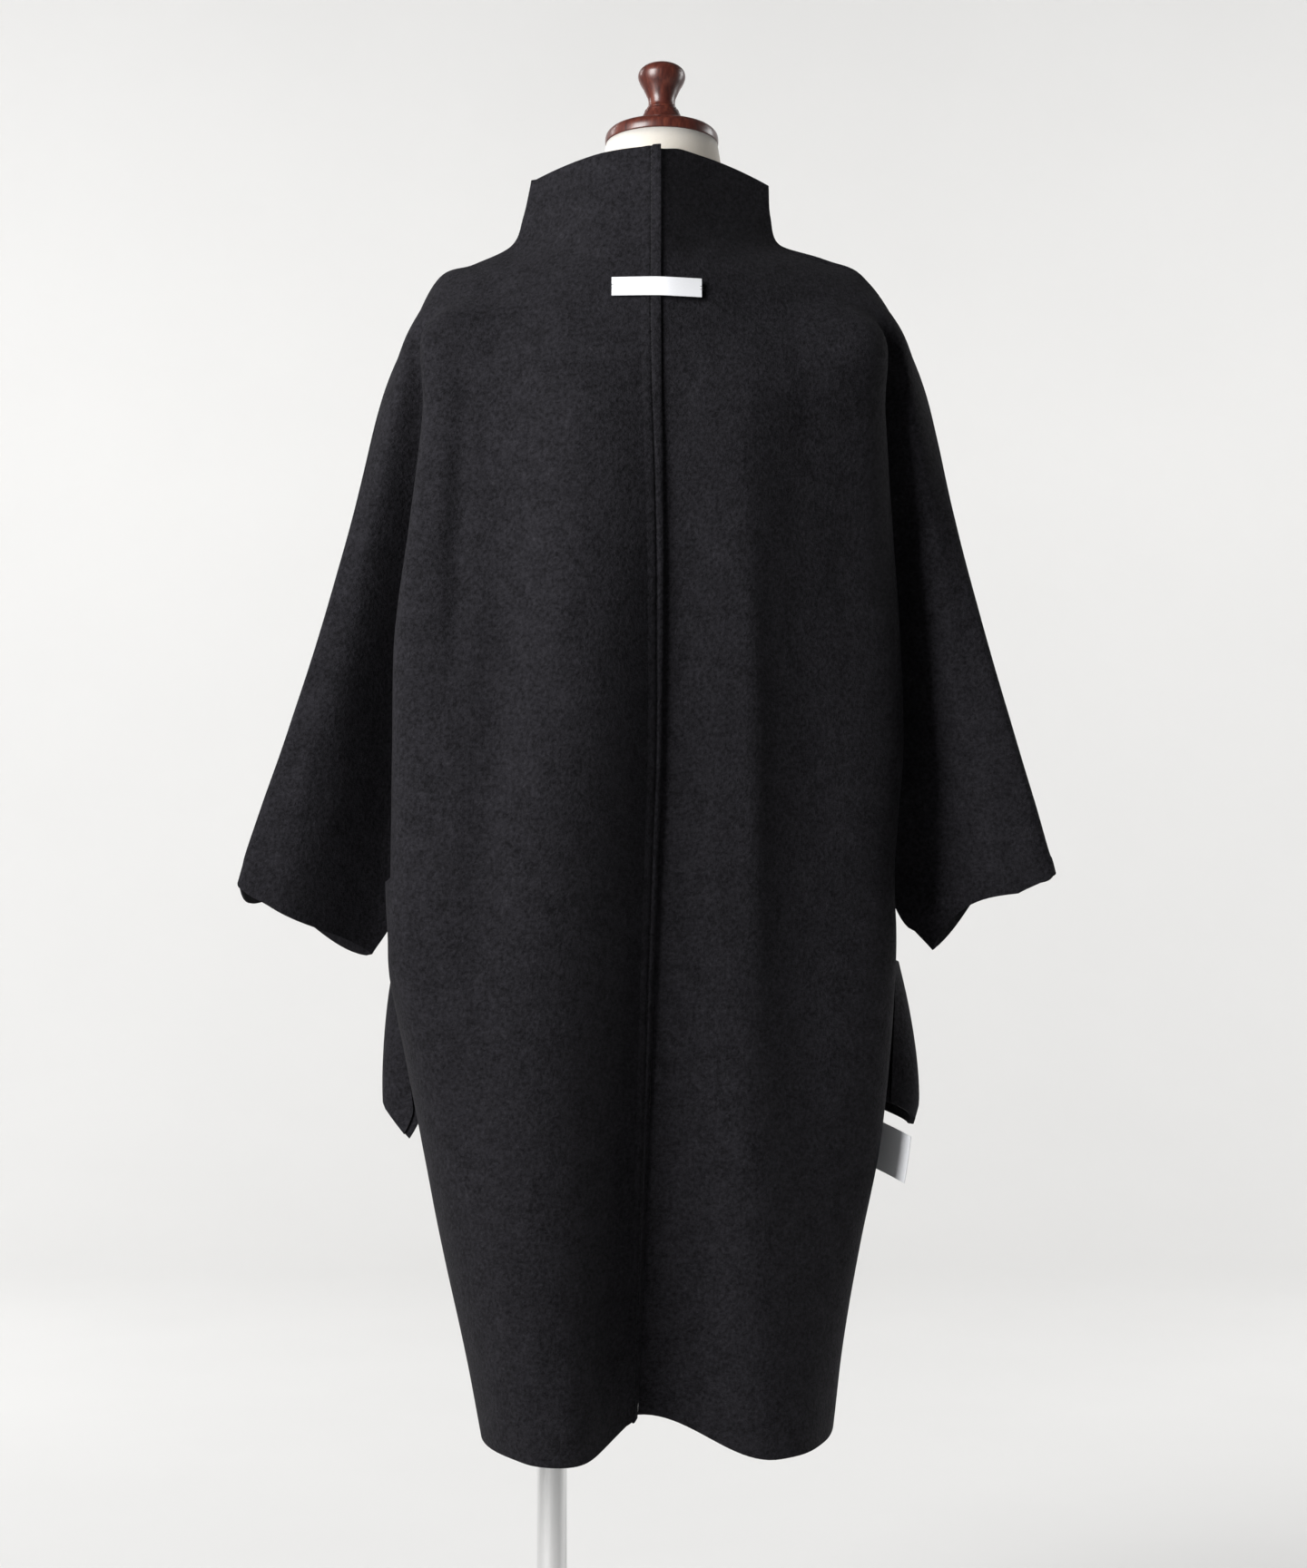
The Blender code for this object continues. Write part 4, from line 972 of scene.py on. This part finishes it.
def make_neck_label(panels, satin, thread):
    """A woven label, bare, tacked at its ends across the seam strip, over which it bends."""
    size = NECK_LABEL
    middle = panels["back", "left"].points[0, 0] / MM
    right, left = size.x - size.width / 2, size.x + size.width / 2
    straight = math.hypot(1.0, size.bend) - size.bend
    base = []
    for down in np.linspace(0.5, -0.5, size.rows + 1):
        z = (size.z + down * size.height) * MM
        ends = []
        for x, rise in zip((right, middle, left), size.rises):
            point, normal = back_at(panels, x * MM, z)
            ends.append(point + normal * rise * MM)
        for across in np.linspace(right, left, size.columns + 1):
            end = ends[0] if across < middle else ends[2]
            share = (across - middle) / (end[0] / MM - middle)
            bent = (math.hypot(share, size.bend) - size.bend) / straight
            point = ends[1] + (end - ends[1]) * np.array((share, bent, bent))
            lower = size.tilt * max(0.0, (size.x - across) / size.width)
            base.append(point - np.array((0.0, 0.0, lower * MM)))
    base = np.array(base)
    index = grid_index(size.rows + 1, size.columns + 1)
    piece, normals = add_cloth("neck_label_satin", base, grid_quads(index, True), LABEL_THICK, satin)
    placed(piece, "white_satin", "neck_label")
    make_tacks(panels, index, base + normals * LABEL_THICK, normals, thread)


def make_tacks(panels, index, label, normals, thread):
    """Two small stitches at each end of the neck label, from its upper side down to the back."""
    points = []
    faces = []
    for column, step in ((0, 1), (-1, -1)):
        for off in (-1, 1):
            row = NECK_LABEL.rows // 2 + off
            start = label[index[row, column + step]]
            edge = label[index[row, column]]
            along = unit(edge - start)
            end = edge + along * TACK_REACH * MM + np.array((0.0, 0.0, off * TACK_SPREAD * MM))
            low, low_normal = back_at(panels, end[0], end[2])
            places = (start, edge + along * TACK_PAST_EDGE * MM, 0.5 * (edge + low), low)
            add_stitch(points, faces, places, [normals[index[row, column]]] * 3 + [low_normal])
    placed(add_mesh("neck_label_tacks", points, faces, thread, THREAD_SHARP_ANGLE), "black_wool")


def make_care_label(panel, satin):
    """A folded care label, bare, sewn into the right side seam and standing out from it."""
    size = CARE_LABEL
    base = []
    for z in np.linspace(size.z_top, size.z_low, size.rows + 1):
        seam, _ = column_at(panel, z * MM, -1)
        for share in np.linspace(0.0, 1.0, size.columns + 1):
            out = size.clear + size.out * math.sin(size.turn * share) / math.sin(size.turn)
            behind = size.clear + size.behind * share**CARE_LABEL_BEND
            base.append(seam + np.array((-out, behind, -size.droop * share)) * MM)
    quads = grid_quads(grid_index(size.rows + 1, size.columns + 1), True)
    piece, _ = add_cloth("care_label_satin", np.array(base), quads, LABEL_THICK, satin)
    placed(piece, "white_satin", "care_label")


def make_torso(jersey):
    """A limbless torso with a neck whose top slopes forward."""
    angles = turns(FORM_SIDES)
    cos, sin = np.cos(angles), np.sin(angles)
    points = []
    for z, half, y_back, y_front, power in refined(FORM_RINGS, FORM_STEPS):
        squareness = 2.0 / power
        x = FORM_X / MM + half * np.sign(cos) * np.abs(cos) ** squareness
        y = 0.5 * (y_back + y_front) + 0.5 * (y_back - y_front) * np.sign(sin) * np.abs(sin) ** squareness
        points.append(np.stack((x, y, np.full(FORM_SIDES, z)), axis=1) * MM)
    top = np.stack((cos, sin * math.cos(NECK_TILT), sin * math.sin(NECK_TILT)), axis=1) * NECK_RADIUS
    top += np.array((FORM_X, NECK_TOP_Y, NECK_TOP_Z))
    last = points[-1]
    points += [last + (top - last) * share for share in np.arange(1, FORM_STEPS + 1) / FORM_STEPS]
    faces = capped_faces(len(points), FORM_SIDES)
    placed(add_mesh("torso_jersey", np.concatenate(points), faces, jersey), "ivory_jersey", "form_torso")


def above_neck(height):
    """A place on the neck's tilted axis."""
    y = NECK_TOP_Y - height * math.sin(NECK_TILT)
    return np.array((FORM_X, y, NECK_TOP_Z + height * math.cos(NECK_TILT)))


def turned_points(profile):
    """A ring of points round the axis for each radius and height of a profile."""
    angles = turns(TURNED_SIDES)
    return [(r * math.cos(a), r * math.sin(a), h) for r, h in profile for a in angles]


def add_turned(name, profile, material, place, tilt=0.0, steps=TURNED_STEPS):
    """A turned solid from a profile of radius and height that starts and ends on the axis."""
    inner = refined(profile[1:-1], steps)
    points = turned_points(inner)
    faces = round_faces(len(inner), TURNED_SIDES)
    low_pole, high_pole = len(points), len(points) + 1
    points += [(0.0, 0.0, profile[0][1]), (0.0, 0.0, profile[-1][1])]
    last = (len(inner) - 1) * TURNED_SIDES
    for j in range(TURNED_SIDES):
        k = (j + 1) % TURNED_SIDES
        faces.append((low_pole, k, j))
        faces.append((high_pole, last + j, last + k))
    points = np.array(points) * MM
    y = points[:, 1] * math.cos(tilt) - points[:, 2] * math.sin(tilt)
    z = points[:, 1] * math.sin(tilt) + points[:, 2] * math.cos(tilt)
    return add_mesh(name, np.stack((points[:, 0], y, z), axis=1) + np.asarray(place), faces, material)


def add_ring(name, loop, material, place):
    """A turned ring from a closed profile."""
    faces = round_faces(len(loop), TURNED_SIDES, closed=True)
    return add_mesh(name, np.array(turned_points(loop)) * MM + np.asarray(place), faces, material)


def make_cap_and_finial(wood):
    cap = add_turned("neck_cap_wood", CAP_PROFILE, wood, above_neck(SEAM_GAP), NECK_TILT)
    placed(cap, "mahogany", "neck_cap")
    on_cap = above_neck(CAP_PROFILE[-2][1] * MM + 2 * SEAM_GAP)
    finial = add_turned("finial_wood", FINIAL_PROFILE, wood, on_cap, NECK_TILT)
    placed(finial, "mahogany", "finial")


def rounded_corner(radius, height):
    """Points of a quarter round at the outer top corner of a turned profile."""
    x, z = radius - CORNER_ROUND, height - CORNER_ROUND
    angles = np.linspace(0.0, 0.5 * math.pi, CORNER_POINTS)
    return [(x + CORNER_ROUND * math.cos(a), z + CORNER_ROUND * math.sin(a)) for a in angles]


def make_stand(chrome, steel):
    """A round plate and a tube that stands in its socket and runs up to the form."""
    base = [(0.0, 0.0), (BASE_RADIUS - BASE_CHAMFER, 0.0), (BASE_RADIUS, BASE_CHAMFER)]
    base += rounded_corner(BASE_RADIUS, BASE_THICK) + [(0.0, BASE_THICK)]
    placed(add_turned("base_plate", base, steel, (0.0, 0.0, 0.0), steps=1), "pale_steel", "base")
    gap = SEAM_GAP / MM
    low = BASE_THICK + gap
    high = FORM_RINGS[0].z - gap
    pole = [(0.0, low), (POLE_RADIUS, low), (POLE_RADIUS, high), (0.0, high)]
    placed(add_turned("pole_tube", pole, chrome, POLE_FOOT, steps=1), "chrome", "pole")
    bore = POLE_RADIUS + gap
    top = low + SOCKET_HEIGHT
    socket = [(bore, low), (SOCKET_RADIUS, low)] + rounded_corner(SOCKET_RADIUS, top) + [(bore, top)]
    placed(add_ring("pole_collar", socket, chrome, POLE_FOOT), "chrome", "pole_socket")


class Shader:
    """A Principled material and short calls for its nodes."""

    def __init__(self, name, colour, roughness, **values):
        self.material = bpy.data.materials.new(name)
        self.material.use_nodes = True
        self.nodes = self.material.node_tree.nodes
        self.shader = self.nodes["Principled BSDF"]
        values = {socket.replace("_", " "): value for socket, value in values.items()}
        self.fill(self.shader, {"Base Color": (*colour, 1.0), "Roughness": roughness, **values})
        self.place = self.nodes.new("ShaderNodeTexCoord").outputs["Object"]

    def fill(self, node, values):
        """Gives inputs of a node their values, or links them to sockets of other nodes."""
        for name, value in values.items():
            if isinstance(value, bpy.types.NodeSocket):
                self.material.node_tree.links.new(value, node.inputs[name])
            else:
                node.inputs[name].default_value = value

    def stretched(self, scale):
        """The place in the object, scaled differently along each axis."""
        node = self.nodes.new("ShaderNodeMapping")
        self.fill(node, {"Vector": self.place, "Scale": scale})
        return node.outputs["Vector"]

    def noise(self, scale, detail=2.0, roughness=0.5, place=None, distortion=0.0):
        """Smooth noise over the object, or over a stretched place in it."""
        node = self.nodes.new("ShaderNodeTexNoise")
        self.fill(node, {"Vector": place or self.place, "Scale": scale, "Detail": detail})
        self.fill(node, {"Roughness": roughness, "Distortion": distortion})
        return node.outputs["Fac"]

    def ramp(self, factor, *stops):
        """Colours between stops, each a place and a colour."""
        node = self.nodes.new("ShaderNodeValToRGB")
        band = node.color_ramp
        while len(band.elements) < len(stops):
            band.elements.new(0.5)
        for element, (place, colour) in zip(band.elements, stops):
            element.position = place
            element.color = (*colour, 1.0)
        self.fill(node, {"Fac": factor})
        return node.outputs["Color"]

    def sums(self, *parts):
        """The sum of sockets, each with a weight."""
        total = 0.0
        for socket, weight in parts:
            node = self.nodes.new("ShaderNodeMath")
            node.operation = "MULTIPLY_ADD"
            self.fill(node, {0: socket, 1: weight, 2: total})
            total = node.outputs[0]
        return total

    def bump(self, height, distance, strength=1.0):
        """Small bumps in the surface, from a height between 0 and 1."""
        node = self.nodes.new("ShaderNodeBump")
        self.fill(node, {"Height": height, "Distance": distance, "Strength": strength})
        self.fill(self.shader, {"Normal": node.outputs["Normal"]})

    def colour(self, socket):
        self.fill(self.shader, {"Base Color": socket})

    def roughness(self, socket):
        self.fill(self.shader, {"Roughness": socket})


def wool_material():
    """Felted wool: matted fibres, faint flecks and a soft nap."""
    wool = Shader(
        "felted_wool",
        (0.0092, 0.0089, 0.0106),
        0.92,
        Sheen_Weight=0.008,
        Sheen_Roughness=0.5,
        Sheen_Tint=(0.56, 0.54, 0.63, 1.0),
        Specular_IOR_Level=0.12,
    )
    fibres = wool.noise(1100.0, 4.0, 0.65)
    tufts = wool.noise(320.0, 3.0, 0.6)
    clouds = wool.noise(60.0, 2.0, 0.5)
    tone = wool.sums((fibres, 0.35), (tufts, 0.5), (clouds, 0.15))
    wool.colour(wool.ramp(tone, (0.38, (0.0040, 0.0038, 0.0047)), (0.62, (0.0201, 0.0192, 0.0231)),
                          (0.74, (0.046, 0.044, 0.050))))
    wool.bump(wool.sums((fibres, 0.6), (tufts, 1.3)), 1.0 * MM)
    return wool.material


def thread_material():
    thread = Shader("black_thread", (0.01, 0.01, 0.011), 0.55, Specular_IOR_Level=0.35)
    twist = thread.noise(2600.0, 2.0)
    thread.colour(thread.ramp(twist, (0.35, (0.006, 0.006, 0.007)), (0.65, (0.02, 0.02, 0.021))))
    thread.bump(twist, 0.15 * MM)
    return thread.material


def satin_material():
    """A close satin weave: fine ribs across and soft threads along."""
    satin = Shader("white_satin", (0.86, 0.87, 0.90), 0.42, Sheen_Weight=0.3, Sheen_Roughness=0.3)
    ribs = satin.noise(1.0, 1.0, 0.5, satin.stretched((500.0, 500.0, 4200.0)))
    threads = satin.noise(1.0, 1.0, 0.5, satin.stretched((3600.0, 3600.0, 400.0)))
    weave = satin.sums((ribs, 0.6), (threads, 0.4))
    satin.colour(satin.ramp(weave, (0.3, (0.83, 0.84, 0.87)), (0.7, (0.90, 0.91, 0.93))))
    satin.bump(weave, 0.12 * MM, 0.6)
    return satin.material


def jersey_material():
    """Fine ivory jersey over the form."""
    jersey = Shader(
        "ivory_jersey",
        (0.70, 0.64, 0.56),
        0.85,
        Subsurface_Weight=0.8,
        Subsurface_Radius=(1.0, 0.95, 0.88),
        Subsurface_Scale=0.045,
    )
    loops = jersey.noise(1.0, 1.0, 0.5, jersey.stretched((1500.0, 1500.0, 900.0)))
    clouds = jersey.noise(40.0, 2.0)
    jersey.colour(jersey.ramp(jersey.sums((loops, 0.6), (clouds, 0.4)),
                              (0.3, (0.68, 0.62, 0.54)), (0.7, (0.73, 0.67, 0.59))))
    jersey.bump(loops, 0.15 * MM, 0.5)
    return jersey.material


def wood_material():
    """Lacquered mahogany: fine dark grain lines under a clear gloss."""
    wood = Shader("mahogany", (0.09, 0.020, 0.013), 0.36, Coat_Weight=0.35, Coat_Roughness=0.2)
    grain = wood.noise(1.0, 4.0, 0.6, wood.stretched((220.0, 220.0, 26.0)), 0.6)
    pores = wood.noise(1.0, 2.0, 0.7, wood.stretched((900.0, 900.0, 90.0)))
    tone = wood.sums((grain, 0.7), (pores, 0.3))
    wood.colour(wood.ramp(tone, (0.34, (0.034, 0.007, 0.005)), (0.52, (0.09, 0.020, 0.013)),
                          (0.68, (0.15, 0.040, 0.023))))
    wood.bump(pores, 0.06 * MM, 0.3)
    return wood.material


def chrome_material():
    """Polished chrome with faint wiping marks."""
    chrome = Shader("chrome", (0.80, 0.80, 0.80), 0.10, Metallic=1.0)
    marks = chrome.noise(1.0, 3.0, 0.6, chrome.stretched((400.0, 400.0, 30.0)))
    wear = chrome.ramp(marks, (0.3, (0.07, 0.07, 0.07)), (0.75, (0.17, 0.17, 0.17)))
    chrome.roughness(wear)
    return chrome.material


def steel_material():
    """Satin-painted plate with a fine texture."""
    steel = Shader("pale_steel", (0.72, 0.72, 0.71), 0.42, Coat_Weight=0.2, Coat_Roughness=0.3)
    peel = steel.noise(500.0, 2.0)
    clouds = steel.noise(18.0, 3.0)
    steel.colour(steel.ramp(clouds, (0.3, (0.68, 0.68, 0.67)), (0.7, (0.75, 0.75, 0.74))))
    steel.bump(peel, 0.08 * MM, 0.4)
    return steel.material


def make_backdrop():
    """A pale floor that sweeps up into a wall behind the coat's front."""
    line = [(FLOOR_END, 0.0)]
    for angle in np.linspace(0.0, math.pi / 2, SWEEP_POINTS):
        y = SWEEP_START - SWEEP_RADIUS * math.sin(angle)
        line.append((y, SWEEP_RADIUS - SWEEP_RADIUS * math.cos(angle)))
    line.append((SWEEP_START - SWEEP_RADIUS, WALL_TOP))
    points = [(x, y, z + FLOOR_Z) for y, z in line for x in (-BACKDROP_HALF, BACKDROP_HALF)]
    faces = [(2 * i, 2 * i + 1, 2 * i + 3, 2 * i + 2) for i in range(len(line) - 1)]
    paper = Shader("pale_paper", (0.84, 0.835, 0.825), 0.95, Specular_IOR_Level=0.1)
    paper.colour(paper.ramp(paper.noise(3.0, 2.0), (0.3, (0.835, 0.83, 0.82)), (0.7, (0.845, 0.84, 0.83))))
    floor = add_mesh("studio_floor", points, faces, paper.material)


def add_light(wanted):
    """A soft rectangular light, turned to its target."""
    light = bpy.data.lights.new(wanted.name, "AREA")
    light.shape = "RECTANGLE"
    light.size, light.size_y = wanted.size
    light.energy = wanted.power
    light.spread = math.radians(wanted.spread)
    lamp = bpy.data.objects.new(wanted.name, light)
    lamp.location = wanted.place
    ray = Vector(wanted.target) - Vector(wanted.place)
    lamp.rotation_euler = ray.to_track_quat("-Z", "Y").to_euler()
    bpy.context.scene.collection.objects.link(lamp)


def make_light():
    """A key light from the left of the picture, lesser ones from the right and two for the wall."""
    world = bpy.data.worlds.new("studio")
    world.use_nodes = True
    background = world.node_tree.nodes["Background"]
    background.inputs["Color"].default_value = (1.0, 1.0, 1.0, 1.0)
    background.inputs["Strength"].default_value = WORLD_STRENGTH
    bpy.context.scene.world = world
    for wanted in STUDIO_LIGHTS:
        add_light(wanted)


def make_camera():
    camera = bpy.data.cameras.new("camera")
    camera.sensor_fit = "VERTICAL"
    camera.sensor_height = SENSOR_HEIGHT
    camera.lens = CAMERA_LENS
    eye = bpy.data.objects.new("camera", camera)
    eye.location = CAMERA_PLACE
    eye.rotation_euler = (math.pi / 2, 0.0, math.pi)
    bpy.context.scene.collection.objects.link(eye)
    bpy.context.scene.camera = eye


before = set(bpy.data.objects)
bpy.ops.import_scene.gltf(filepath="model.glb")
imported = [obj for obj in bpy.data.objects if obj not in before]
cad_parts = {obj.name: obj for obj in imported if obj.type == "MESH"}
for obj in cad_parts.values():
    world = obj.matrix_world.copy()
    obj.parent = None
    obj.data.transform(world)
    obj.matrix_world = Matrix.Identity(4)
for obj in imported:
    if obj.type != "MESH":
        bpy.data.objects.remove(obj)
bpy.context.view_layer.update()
bpy.context.scene.view_settings.view_transform = "Standard"
wool = wool_material()
thread = thread_material()
satin = satin_material()
panels = make_panels(wool)
make_centre_strip(panels["back", "left"], wool, thread)
for side_name in SIDES:
    make_overarm_strip(side_name, panels["front", side_name], wool, thread)
for side_name in SIDES:
    make_pocket(side_name, panels["front", side_name], wool)
make_neck_label(panels, satin, thread)
make_care_label(panels["front", "right"], satin)
make_torso(jersey_material())
make_cap_and_finial(wood_material())
make_stand(chrome_material(), steel_material())
make_backdrop()
make_light()
make_camera()
